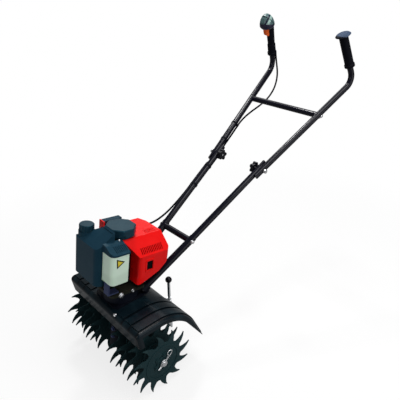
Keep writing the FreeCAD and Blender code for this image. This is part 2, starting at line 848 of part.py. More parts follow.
def engine_block():
    """The engine inside its covers, as one plain block with a raked rear foot."""
    top_w = shroud_top_w - shroud_wall
    profile = [(block_front_v, base_top_w), (base_plate_rear_v, base_top_w),
               (block_rear_v, base_top_w + block_rake_w), (block_rear_v, top_w), (block_front_v, top_w)]
    block = side_prism(profile, block_right_u, block_left_u)
    shoulders = edges_along(block, Vector(0, 1, 0), lambda middle: middle.z > top_w - sink)
    return leaning(block.makeChamfer(block_shoulder, shoulders))


def corner_waste(corner_u, corner_v, toward_v, radius, w_low, w_high):
    """What a rounded left upright corner leaves of a square one; toward_v is -1 in front, +1 behind."""
    centre = Vector(corner_u - radius, corner_v - toward_v * radius, w_low)
    past_v = corner_v + toward_v * overcut
    square = box(centre.x, corner_u + overcut, min(centre.y, past_v), max(centre.y, past_v), w_low, w_high)
    return square.cut(Part.makeCylinder(radius, w_high - w_low, centre))


def shroud_low_line():
    """The shroud's lower edge from front to rear, as (v, w) pairs."""
    return [(shroud_front_v, shroud_bottom_w),
            (shroud_low_middle_v, shroud_bottom_w + shroud_low_middle_rise),
            (shroud_low_rear_v, shroud_bottom_w + shroud_low_rear_rise),
            (shroud_rear_low_v, shroud_bottom_w + shroud_rear_low_rise)]


def shroud_solid(inset):
    """The fan shroud's outer volume, moved inward by the given amount and opened below when inset."""
    fold_drop = inset * shroud_fold_inset_share
    section = [(shroud_far_side_u + inset, 0.0), (shroud_side_u - inset, 0.0),
               (shroud_side_u - inset, shroud_fold_w - fold_drop),
               (shroud_ridge_u - fold_drop, shroud_top_w - inset),
               (shroud_far_ridge_u + inset, shroud_top_w - inset),
               (shroud_far_side_u + inset, shroud_far_fold_w - fold_drop)]
    body = front_prism(section, -far_past, far_past)
    front_v = shroud_front_v + inset
    nose_v = shroud_top_front_v + inset
    low_line = [(v, w - inset) for v, w in shroud_low_line()]
    low_line[0] = (front_v, low_line[0][1])
    low_line[-1] = (shroud_rear_low_v - inset, low_line[-1][1])
    high_w = shroud_top_w + overcut
    side = low_line + [(shroud_rear_v - inset, shroud_fold_w), (shroud_top_rear_v - inset, shroud_top_w),
                       (shroud_top_rear_v - inset, high_w), (nose_v, high_w), (nose_v, shroud_top_w),
                       (front_v, shroud_fold_w)]
    body = body.common(side_prism(side, -far_past, far_past))
    low_w = shroud_bottom_w - overcut - inset
    front_round = corner_waste(shroud_side_u - inset, front_v, -1, shroud_front_corner - inset, low_w,
                               shroud_fold_w - fold_drop)
    rear_round = corner_waste(shroud_side_u - inset, shroud_rear_v - inset, 1, shroud_rear_corner - inset,
                              low_w, high_w)
    return body.cut([front_round, rear_round, far_rear_waste(inset)])


def far_rear_waste(inset):
    """What the slanted far end of the rear wall leaves of a straight one."""
    past_v = shroud_rear_v + overcut
    slope = (shroud_rear_v - shroud_far_rear_v) / (shroud_far_rear_u - shroud_far_side_u)
    past_u = shroud_far_side_u - overcut
    far_v = shroud_far_rear_v - overcut * slope
    plan = [Vector(past_u, far_v - inset, 0), Vector(shroud_far_rear_u, shroud_rear_v - inset, 0),
            Vector(shroud_far_rear_u, past_v, 0), Vector(past_u, past_v, 0)]
    return Part.Face(Part.makePolygon(plan + [plan[0]])).extrude(Vector(0, 0, far_past))


def slope_slot(v_middle):
    """One louvre slot across the near slope, just above the fold."""
    fall_u = (shroud_side_u - shroud_ridge_u) / (shroud_top_w - shroud_fold_w)
    low_u = shroud_side_u - shroud_slot_low_rise * fall_u
    high_u = shroud_side_u - shroud_slot_high_rise * fall_u
    low_w = shroud_fold_w + shroud_slot_low_rise
    high_w = shroud_fold_w + shroud_slot_high_rise
    depth = 2 * shroud_wall
    outline = [(low_u + depth, low_w + depth), (high_u + depth, high_w + depth),
               (high_u - depth, high_w - depth), (low_u - depth, low_w - depth)]
    return front_prism(outline, v_middle - shroud_slot_width / 2, v_middle + shroud_slot_width / 2)


def shroud_openings():
    """Cutters for the shroud's front opening, side vent and louvre slots."""
    half_vent = vent_width / 2
    holes = [box(shroud_far_side_u + shroud_wall, block_left_u + block_gap, shroud_top_front_v - overcut,
                 shroud_low_middle_v, shroud_bottom_w - overcut, shroud_top_w - shroud_wall),
             box(shroud_side_u - 2 * shroud_wall, shroud_side_u + 2 * shroud_wall,
                 vent_v - half_vent, vent_v + half_vent, vent_w - vent_height / 2, vent_w + vent_height / 2)]
    for index in range(shroud_slots):
        holes.append(slope_slot(shroud_first_slot_v + index * shroud_slot_pitch))
    for index in range(top_slots):
        v_here = top_first_slot_v + index * top_slot_pitch
        holes.append(box(top_slot_right_u, top_slot_left_u, v_here, v_here + shroud_slot_width,
                         shroud_top_w - shroud_wall / 2, shroud_top_w + shroud_wall))
    return holes


def fan_shroud():
    """Red fan shroud: folded sides and flat top over a hollow, with a cheek before the air box."""
    half_frame = vent_width / 2 + vent_frame
    half_height = vent_height / 2 + vent_frame
    raised = box(shroud_side_u - sink, shroud_side_u + vent_frame_height,
                 vent_v - half_frame, vent_v + half_frame, vent_w - half_height, vent_w + half_height)
    shell = joined([shroud_solid(0.0), raised]).cut(shroud_solid(shroud_wall)).cut(shroud_openings())
    cheek = box(cheek_right_u, shroud_far_ridge_u, cheek_front_v, cheek_front_v + cheek_thickness,
                shroud_top_w - cheek_drop, air_box_top_w)
    return leaning(joined([shell, cheek]))


def polygon_prism(radius, sides, centre, height):
    """An upright prism with equal sides around a centre."""
    corners = []
    for index in range(sides + 1):
        turn = 2 * math.pi * (index + 0.5) / sides
        corners.append(centre + Vector(radius * math.cos(turn), radius * math.sin(turn), 0))
    return Part.Face(Part.makePolygon(corners)).extrude(Vector(0, 0, height))


def starter_housing():
    """Pull starter cap: a soft-cornered polygon with notches in its lower edge, on a round collar."""
    foot = Vector(starter_u, starter_v, starter_collar_top_w)
    cap = polygon_prism(starter_radius, starter_sides, foot, starter_cap_height)
    cap = cap.makeFillet(starter_corner, edges_along(cap, Vector(0, 0, 1), lambda middle: True))
    rim = [edge for edge in cap.Edges if edge.BoundBox.ZMin > starter_top_w - sink]
    cap = cap.makeChamfer(starter_rim_chamfer, rim)
    collar = Part.makeCylinder(starter_collar_radius, starter_collar_height,
                               Vector(starter_u, starter_v, starter_bottom_w))
    notches = []
    for turn_deg in starter_notch_turns_deg:
        notch = box(starter_radius - starter_notch_depth, starter_radius + overcut,
                    -starter_notch_width / 2, starter_notch_width / 2,
                    starter_collar_top_w - overcut, starter_collar_top_w + starter_notch_height)
        notch.rotate(Vector(0, 0, 0), Vector(0, 0, 1), turn_deg)
        notch.translate(Vector(starter_u, starter_v, 0))
        notches.append(notch)
    return leaning(joined([cap, collar]).cut(notches))


def front_cover_solid(inset):
    """The front cover's outer volume, moved inward by the given amount and opened below and behind."""
    opened = cover_rear_open if inset else 0.0
    low_w = cover_bottom_w - opened
    rear_v = cover_rear_v + opened
    side = [(cover_front_v + inset, low_w), (rear_v, low_w), (rear_v, cover_ridge_w - inset),
            (cover_front_v + inset, cover_front_top_w - inset)]
    body = side_prism(side, cover_right_u + inset, cover_left_u - inset)
    fall = (cover_ridge_w - cover_far_top_w) / (cover_far_ridge_u - cover_right_u)
    roof_left_w = cover_ridge_w + (cover_left_u - cover_far_ridge_u) * fall - inset
    high_w = roof_left_w + far_past
    waste = front_prism([(cover_right_u - overcut, cover_far_top_w - overcut * fall - inset),
                         (cover_left_u, roof_left_w), (cover_left_u, high_w),
                          (cover_right_u - overcut, high_w)],
                        cover_front_v - overcut, 0)
    body = body.cut(waste)
    front_edges = edges_along(body, Vector(0, 0, 1), lambda middle: middle.y < cover_front_v + inset + sink)
    return body.makeFillet(cover_corner - inset, front_edges)


def cover_rim():
    """Raised rim along the ridge and the left edge of the front cover's sloping top."""
    slope = (cover_ridge_w - cover_front_top_w) / (cover_rear_v - cover_front_v)
    low_v = cover_front_v + cover_corner
    low_w = cover_front_top_w + cover_corner * slope
    high_w = cover_ridge_w + cover_rim_height
    left = side_prism([(low_v, low_w - sink), (cover_rear_v, cover_ridge_w - sink), (cover_rear_v, high_w),
                       (low_v, low_w + cover_rim_edge)], cover_left_u - cover_rim_width, cover_left_u)
    back_v = cover_rear_v - cover_rim_width
    drop = cover_rim_width * slope
    back = side_prism([(back_v, cover_ridge_w - drop - sink), (cover_rear_v, cover_ridge_w - sink),
                       (cover_rear_v, high_w), (back_v, high_w - drop)], cover_far_ridge_u, cover_left_u)
    return [left, back]


def filler_collar():
    """Round collar of the front cover about the filler neck, up to the cap."""
    return Part.makeCylinder(cover_collar_radius, filler_top_w - cover_collar_gap - tank_top_w,
                             Vector(filler_u, filler_v, tank_top_w))


def front_cover():
    """Black front cover: a shell closed at the front, sides and top, open behind and below."""
    shell = joined([front_cover_solid(0.0), filler_collar()] + cover_rim())
    shell = shell.cut(front_cover_solid(cover_wall))
    tank_room = box(tank_right_u - tank_gap, tank_left_u, tank_front_v - tank_gap, tank_rear_v,
                    tank_bottom_w - tank_gap, tank_top_w + tank_gap)
    neck_way = Part.makeCylinder(filler_radius + filler_gap, far_past, Vector(filler_u, filler_v, tank_top_w))
    cap_way = Part.makeCylinder(fuel_cap_radius + filler_gap, far_past,
                                Vector(filler_u, filler_v, filler_top_w - cover_collar_gap))
    return leaning(shell.cut([tank_room, neck_way, cap_way]))


def fuel_tank():
    """Translucent tank across the front of the engine with a raised filler neck."""
    tank = box(tank_right_u, tank_left_u, tank_front_v, tank_rear_v, tank_bottom_w, tank_top_w)
    front_edges = edges_along(tank, Vector(0, 0, 1), lambda middle: middle.y < tank_front_v + sink)
    tank = tank.makeFillet(tank_front_corner, front_edges)
    rear_edges = edges_along(tank, Vector(0, 0, 1), lambda middle: middle.y > tank_rear_v - sink)
    tank = tank.makeFillet(tank_rear_corner, rear_edges)
    bottom = [edge for edge in tank.Edges if edge.BoundBox.ZMax < tank_bottom_w + sink]
    tank = tank.makeChamfer(tank_bottom_chamfer, bottom)
    neck_foot = Vector(filler_u, filler_v, tank_top_w - sink)
    neck = Part.makeCylinder(filler_radius, filler_height + sink, neck_foot)
    return leaning(joined([tank, neck]))


def tank_rest():
    """Folded sheet bracket that carries the tank over the engine base."""
    low = base_top_w
    sheet = tank_rest_sheet
    profile = [(tank_rest_rear_v, low), (tank_rest_front_v, low), (tank_rest_front_v, tank_bottom_w),
               (tank_rest_rear_v, tank_bottom_w), (tank_rest_rear_v, tank_bottom_w - sheet),
               (tank_rest_front_v + sheet, tank_bottom_w - sheet), (tank_rest_front_v + sheet, low + sheet),
               (tank_rest_rear_v, low + sheet)]
    return leaning(side_prism(profile, tank_rest_right_u, tank_rest_left_u))


def fuel_cap():
    """Fluted screw cap over the filler neck."""
    foot = Vector(filler_u, filler_v, filler_top_w)
    chamfered = turned([(0, 0), (fuel_cap_radius, 0), (fuel_cap_radius, fuel_cap_height - fuel_cap_chamfer),
                        (fuel_cap_radius - fuel_cap_chamfer, fuel_cap_height), (0, fuel_cap_height)],
                       foot, Vector(0, 0, 1))
    corners = []
    for index in range(2 * fuel_cap_flutes + 1):
        turn = math.pi * index / fuel_cap_flutes
        radius = fuel_cap_radius - (fuel_cap_flute_depth if index % 2 else 0.0)
        corners.append(foot + Vector(radius * math.cos(turn), radius * math.sin(turn), 0))
    fluted = Part.Face(Part.makePolygon(corners)).extrude(Vector(0, 0, fuel_cap_height))
    return leaning(chamfered.common(fluted))


def tank_shoulder():
    """Black slotted shoulder panel over the left half of the tank."""
    left_u = tank_left_u + shoulder_overhang
    front_v = tank_front_v - shoulder_overhang
    outline = [(cover_left_u, tank_top_w), (left_u, tank_top_w), (left_u, shoulder_lip_w),
               (shoulder_ledge_u, shoulder_ledge_w), (cover_left_u, shoulder_inner_w)]
    panel = front_prism(outline, front_v, tank_rear_v)
    panel = panel.cut(corner_waste(left_u, front_v, -1, tank_front_corner + shoulder_overhang,
                                   tank_top_w - overcut, shoulder_inner_w + overcut))
    fall = (shoulder_ledge_w - shoulder_lip_w) / (left_u - shoulder_ledge_u)
    near_u = tank_left_u - shoulder_slot_lip_margin
    far_u = shoulder_ledge_u + shoulder_slot_ledge_margin
    near_w = shoulder_ledge_w - (near_u - shoulder_ledge_u) * fall
    far_w = shoulder_ledge_w - (far_u - shoulder_ledge_u) * fall
    slots = []
    for index in range(shoulder_slots):
        v_here = shoulder_first_slot_v - index * shoulder_slot_pitch
        slots.append(front_prism([(near_u, near_w - shoulder_slot_depth), (near_u, near_w + overcut),
                                  (far_u, far_w + overcut), (far_u, far_w - shoulder_slot_depth)],
                                 v_here - shoulder_slot_width / 2, v_here + shoulder_slot_width / 2))
    return leaning(panel.cut(slots))


def air_cleaner():
    """Air filter box on the right side of the engine."""
    body = box(air_box_right_u, air_box_left_u, air_box_front_v, air_box_rear_v,
               air_box_bottom_w, air_box_top_w)
    low_limit = air_box_top_w - sink
    upper_right = edges_along(body, Vector(0, 1, 0),
                              lambda middle: middle.x < air_box_left_u - sink and middle.z > low_limit)
    body = body.makeChamfer(air_box_corner / 2, upper_right)
    front_limit = air_box_front_v + sink
    rear_right = edges_along(body, Vector(0, 0, 1),
                             lambda middle: middle.x < air_box_right_u + sink and middle.y > front_limit)
    return leaning(body.makeFillet(air_box_corner, rear_right))


def carburettor():
    """Carburettor body behind the air filter, where the throttle cable ends."""
    body = box(carb_right_u, carb_left_u, carb_front_v, carb_rear_v, carb_bottom_w, carb_top_w)
    uprights = edges_along(body, Vector(0, 0, 1), lambda middle: middle.x < carb_right_u + sink)
    return leaning(body.makeFillet(carb_corner, uprights))


# ---- handlebars ----------------------------------------------------------------------------------

def base_tube():
    """Left base tube from the mount saddle to the lower crossbar."""
    axis = base_tube_axis()
    return rod(base_tube_foot, lower_crossbar + axis * joint_sleeve, base_tube_radius)


def crossbar(at_point):
    """A round cross tube between the left and right sides at the given joint."""
    return rod(Vector(-at_point.x, at_point.y, at_point.z), at_point, tube_radius)


def lap_waste(x_low, x_high):
    """The block that flattens a folding tube about the pivot."""
    return box(x_low, x_high, fold_pivot.y - lap_cut_reach, fold_pivot.y + lap_cut_reach,
               fold_pivot.z - lap_cut_reach, fold_pivot.z + lap_cut_reach)


def pivot_hole():
    """The hole for the pivot bolt, through both tubes of the lap."""
    past = 3 * tube_radius
    return rod(fold_pivot - Vector(past, 0, 0), fold_pivot + Vector(past, 0, 0),
               pivot_bolt_radius + shaft_running_gap)


def lower_tube():
    """Left middle tube, flattened where it laps the folding part."""
    start = lower_crossbar
    inner_end = Vector(fold_pivot.x - tube_radius + lap_flat_depth, fold_pivot.y, fold_pivot.z)
    run = (inner_end - start).normalize()
    bar = rod(start + run * joint_sleeve, inner_end + run * lap_tail, tube_radius)
    return bar.cut([lap_waste(fold_pivot.x - lap_half_gap, fold_pivot.x + lap_cut_reach), pivot_hole()])


def upper_tube():
    """Left folding tube: lap, straight run, bend, and the stub inside the grip."""
    outer_start = Vector(fold_pivot.x + tube_radius - lap_flat_depth, fold_pivot.y, fold_pivot.z)
    run = (upper_crossbar - outer_start).normalize()
    tail = outer_start - run * lap_tail
    stub = handle_bend + grip_run() * (grip_foot_from_bend + tube_in_grip)
    bar = bent_bar([tail, handle_bend, stub], [bend_radius], tube_radius)
    return bar.cut([lap_waste(fold_pivot.x - lap_cut_reach, fold_pivot.x + lap_half_gap), pivot_hole()])


def pivot_bolt():
    """Bolt across the lap with its head outboard."""
    shank_start = fold_pivot - Vector(pivot_bolt_inboard, 0, 0)
    head_start = fold_pivot + Vector(2 * tube_radius - lap_flat_depth + sink, 0, 0)
    shank = rod(shank_start, shank_start + Vector(pivot_bolt_length, 0, 0), pivot_bolt_radius)
    head = rod(head_start, head_start + Vector(bolt_head_height, 0, 0), bolt_head_radius)
    return joined([shank, head])


def star_knob():
    """Lobed clamping knob inboard of the lap."""
    start_x = fold_pivot.x - 2 * tube_radius + lap_flat_depth - knob_washer_gap - knob_thickness
    across = Vector(1, 0, 0)
    hub = Vector(start_x, fold_pivot.y, fold_pivot.z)
    reach = knob_lobe_centre_share * knob_radius
    body = Part.makeCylinder(knob_core_share * knob_radius, knob_thickness, hub, across)
    lobes = []
    for index in range(knob_lobes):
        turn = 2 * math.pi * index / knob_lobes
        centre = hub + Vector(0, reach * math.cos(turn), reach * math.sin(turn))
        lobes.append(Part.makeCylinder(knob_lobe_share * knob_radius, knob_thickness, centre, across))
    knob = body.fuse(lobes).removeSplitter()
    bore = Part.makeCylinder(pivot_bolt_radius, 3 * knob_thickness,
                             Vector(start_x - knob_thickness, fold_pivot.y, fold_pivot.z), across)
    return knob.cut(bore)


def grip_run():
    """Unit direction of the left grip, from the bend to its top."""
    return (grip_aim - handle_bend).normalize()


def grip(with_cap):
    """Rubber grip with a collar at its foot over the tube end, with or without a mushroom cap."""
    run = grip_run()
    foot = handle_bend + run * grip_foot_from_bend
    top = grip_length - (grip_cap_height if with_cap else 0.0)
    outline = [(0, 0), (grip_collar_radius, 0), (grip_collar_radius, grip_collar_height),
               (grip_radius, grip_collar_height + grip_waist_depth)]
    if with_cap:
        rise = grip_cap_height / 3
        outline.extend([(grip_radius, top), (grip_cap_radius, top + rise),
                        (grip_cap_shoulder_share * grip_cap_radius, top + 2 * rise),
                        (grip_cap_crown_share * grip_cap_radius, grip_length - sink)])
    else:
        outline.extend([(grip_radius, grip_waist_low_share * top),
                        (grip_radius - grip_waist_depth, grip_waist_high_share * top), (grip_radius, top)])
    outline.append((0, grip_length))
    return turned(outline, foot, run).cut(rod(foot - run, foot + run * tube_in_grip, tube_radius))


def pod_base():
    """Foot of the throttle pod's axis and the direction that points ahead of the grip."""
    run = grip_run()
    ahead = (Vector(0, -1, 0) - run * Vector(0, -1, 0).dot(run)).normalize()
    foot = handle_bend + run * (grip_foot_from_bend + grip_length)
    return foot, run, ahead


def throttle_head():
    """Domed throttle pod above the right grip, with a groove round its dome."""
    foot, run, ahead = pod_base()
    outline = [(share * pod_radius, rise * pod_length) for share, rise in pod_profile]
    base = foot + ahead * pod_offset
    middle = base + run * (pod_length / 2)
    dome = turned(outline, base, run)
    core_outline = [(radius * pod_groove_share, rise * pod_groove_share) for radius, rise in outline]
    core = turned(core_outline, base, run)
    slab = Part.makeBox(4 * pod_radius, pod_groove_width, 4 * pod_length,
                        Vector(-2 * pod_radius, -pod_groove_width / 2, -pod_length))
    across = FreeCAD.Rotation(Vector(0, 1, 0), ahead)
    slab.Placement = FreeCAD.Placement(middle, across).multiply(slab.Placement)
    slab.rotate(middle, Vector(1, 0, 0), pod_groove_tilt_deg)
    return mirrored(dome.cut(slab.cut(core)))


def throttle_trigger():
    """Thumb trigger in front of the right grip, under the pod."""
    foot, run, ahead = pod_base()
    side = run.cross(ahead)
    start = foot + ahead * (grip_radius - trigger_sink)
    low = start - run * trigger_length
    reach = ahead * trigger_reach
    tip = low + reach * trigger_tip_share + run * (trigger_tip_rise_share * trigger_length)
    corners = [start, start + reach, tip, low + reach * trigger_heel_share, low]
    face = Part.Face(Part.makePolygon(corners + [corners[0]]))
    blade = face.extrude(side * trigger_width)
    blade.translate(side * (-trigger_width / 2))
    return mirrored(blade.cut(rod(foot - run * 2 * trigger_length, foot + run * overcut, grip_radius)))


# ---- throttle cable ------------------------------------------------------------------------------

def cable(route):
    """A length of cable: straight runs joined by the widest bends that fit between them."""
    radii = []
    for index in range(1, len(route) - 1):
        back = route[index - 1] - route[index]
        ahead = route[index + 1] - route[index]
        half_turn = (math.pi - back.getAngle(ahead)) / 2
        radii.append(cable_turn_share * min(back.Length, ahead.Length) / math.tan(half_turn))
    return bent_bar(route, radii, cable_radius)


def cable_tie(at_point, run, tube_start, tube_end, tube, cord):
    """A band that holds the cable to a tube; run is the cable's direction there."""
    along = (tube_end - tube_start).normalize()
    on_tube = tube_start + along * (at_point - tube_start).dot(along)
    half = run * (tie_length / 2)
    band = joined([rod(on_tube - half, on_tube + half, tube_radius + tie_wall),
                   rod(at_point - half, at_point + half, cable_radius + tie_wall)])
    return band.cut([tube, cord])


def route_tie(route, index, end_share, tube_start, tube_end, tube, cord):
    """A tie on one run of a route: at its start, middle or end by the share of the run."""
    run = route[index + 1] - route[index]
    length = run.Length
    run.normalize()
    reach = tie_length / 2 + (length - tie_length) * end_share
    return cable_tie(route[index] + run * reach, run, tube_start, tube_end, tube, cord)


def upper_ties(tube, cord):
    """Two ties on the right folding tube: one where the cable meets it and one above the pivot."""
    start = Vector(-fold_pivot.x - tube_radius + lap_flat_depth, fold_pivot.y, fold_pivot.z)
    end = Vector(-handle_bend.x, handle_bend.y, handle_bend.z)
    last = len(upper_cable_route) - 2
    return Part.makeCompound([route_tie(upper_cable_route, last - 1, 0.5, start, end, tube, cord),
                              route_tie(upper_cable_route, last, 1.0, start, end, tube, cord)])


def lower_ties(tube, cord):
    """Two ties on the right middle tube: one under the pivot and one where the cable leaves it."""
    start = Vector(-lower_crossbar.x, lower_crossbar.y, lower_crossbar.z)
    end = Vector(-fold_pivot.x + tube_radius - lap_flat_depth, fold_pivot.y, fold_pivot.z)
    return Part.makeCompound([route_tie(lower_cable_route, 0, 0.0, start, end, tube, cord),
                              route_tie(lower_cable_route, 1, 0.5, start, end, tube, cord)])


# ---- depth stake ---------------------------------------------------------------------------------

def depth_stake():
    """Flat steel stake that digs in behind the tines and carries the parked machine."""
    bar = box(-stake_half_width, stake_half_width, stake_y - stake_half_depth, stake_y + stake_half_depth,
              0, stake_bar_top_z)
    shoulders = edges_along(bar, Vector(0, 1, 0), lambda middle: middle.z > stake_bar_top_z - sink)
    bar = bar.makeFillet(stake_shoulder, shoulders)
    handle = rod(Vector(0, stake_y, stake_bar_top_z - stake_rod_depth), Vector(0, stake_y, stake_knob_z),
                 stake_rod_radius)
    cheek = Part.makeCylinder(stake_cheek_radius, stake_cheek_height,
                              Vector(0, stake_y, stake_bar_top_z - stake_cheek_height / 2))
    return joined([bar, handle, cheek])


def stake_knob():
    """Round ball knob on the stake's rod."""
    outline = []
    for step in range(knob_steps + 1):
        turn = math.radians(-90 + 180.0 * step / knob_steps)
        outline.append((stake_knob_radius * math.cos(turn), stake_knob_radius * math.sin(turn)))
    ball = turned(outline, Vector(0, stake_y, stake_knob_z), Vector(0, 0, 1))
    rod_hole = Part.makeCylinder(stake_rod_radius, stake_knob_z - stake_bar_top_z,
                                 Vector(0, stake_y, stake_bar_top_z))
    return ball.cut(rod_hole)


def stake_sleeve():
    """Square sleeve that guides the stake, on an arm from the gear case."""
    grow = stake_gap + sleeve_wall
    outer = box(-stake_half_width - grow, stake_half_width + grow,
                stake_y - stake_half_depth - grow, stake_y + stake_half_depth + grow,
                sleeve_bottom_z, sleeve_top_z)
    arm = box(-sleeve_arm_half_width, sleeve_arm_half_width, gear_case_radius / 2,
              stake_y - stake_half_depth - stake_gap, sleeve_arm_low_z, sleeve_arm_high_z)
    slot = box(-stake_half_width - stake_gap, stake_half_width + stake_gap,
               stake_y - stake_half_depth - stake_gap, stake_y + stake_half_depth + stake_gap,
               sleeve_bottom_z - overcut, sleeve_top_z + overcut)
    case = gearbox_housing()
    return joined([outer, arm]).cut(slot).cut(case)


def build_all():
    """Build every named piece in the machine frame."""
    pieces = {}
    pieces["output_shaft"] = output_shaft()
    pieces["tine_set_left"] = tine_set(1)
    pieces["tine_set_right"] = tine_set(-1)
    pieces["hitch_pins"] = hitch_pins()
    pieces["gearbox_housing"] = gearbox_housing()
    pieces["clutch_housing"] = clutch_housing()
    pieces["fender"] = fender_body()
    pieces["handle_mount"] = handle_mount()
    pieces["engine_base"] = engine_base()
    pieces["engine_block"] = engine_block()
    pieces["fan_shroud"] = fan_shroud()
    pieces["starter_housing"] = starter_housing()
    pieces["front_cover"] = front_cover()
    pieces["fuel_tank"] = fuel_tank()
    pieces["fuel_cap"] = fuel_cap()
    pieces["tank_shoulder"] = tank_shoulder()
    pieces["air_cleaner"] = air_cleaner()
    pieces["carburettor"] = carburettor()
    pieces["tank_rest"] = tank_rest()
    left_base = base_tube()
    pieces["base_tube_left"] = left_base
    pieces["base_tube_right"] = mirrored(left_base)
    pieces["lower_crossbar"] = crossbar(lower_crossbar).cut([left_base, mirrored(left_base)])
    left_lower = lower_tube().cut(left_base)
    pieces["lower_tube_left"] = left_lower
    pieces["lower_tube_right"] = mirrored(left_lower)
    bolt = pivot_bolt()
    pieces["pivot_bolt_left"] = bolt
    pieces["pivot_bolt_right"] = mirrored(bolt)
    knob = star_knob()
    pieces["star_knob_left"] = knob
    pieces["star_knob_right"] = mirrored(knob)
    left_upper = upper_tube()
    pieces["upper_tube_left"] = left_upper
    pieces["upper_tube_right"] = mirrored(left_upper)
    pieces["upper_crossbar"] = crossbar(upper_crossbar).cut([left_upper, mirrored(left_upper)])
    pieces["grip_left"] = grip(True)
    pieces["grip_right"] = mirrored(grip(False))
    pieces["throttle_head"] = throttle_head()
    pieces["throttle_trigger"] = throttle_trigger()
    upper_cable = cable(upper_cable_route)
    lower_cable = cable(lower_cable_route)
    pieces["throttle_cable_upper"] = upper_cable
    pieces["throttle_cable_lower"] = lower_cable
    pieces["cable_ties_upper"] = upper_ties(mirrored(left_upper), upper_cable)
    pieces["cable_ties_lower"] = lower_ties(mirrored(left_lower), lower_cable)
    pieces["depth_stake"] = depth_stake()
    pieces["stake_knob"] = stake_knob()
    pieces["stake_sleeve"] = stake_sleeve()
    return pieces


def save_all(pieces):
    """Centre the machine on the floor origin and write one STEP file per piece."""
    os.makedirs("parts", exist_ok=True)
    for name, shape in pieces.items():
        placed = shape.copy()
        placed.translate(Vector(0, -row_middle_y, 0))
        placed.exportStep("parts/" + name + ".step")
        edge = placed.BoundBox
        print("%-20s valid %s solids %d vol %.0f  x %.1f..%.1f y %.1f..%.1f z %.1f..%.1f" % (
            name, placed.isValid(), len(placed.Solids), placed.Volume,
            edge.XMin, edge.XMax, edge.YMin, edge.YMax, edge.ZMin, edge.ZMax))


save_all(build_all())
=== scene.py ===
import json
import logging
import math
from dataclasses import dataclass
from enum import Enum
from typing import Iterable, Optional, Sequence, Union

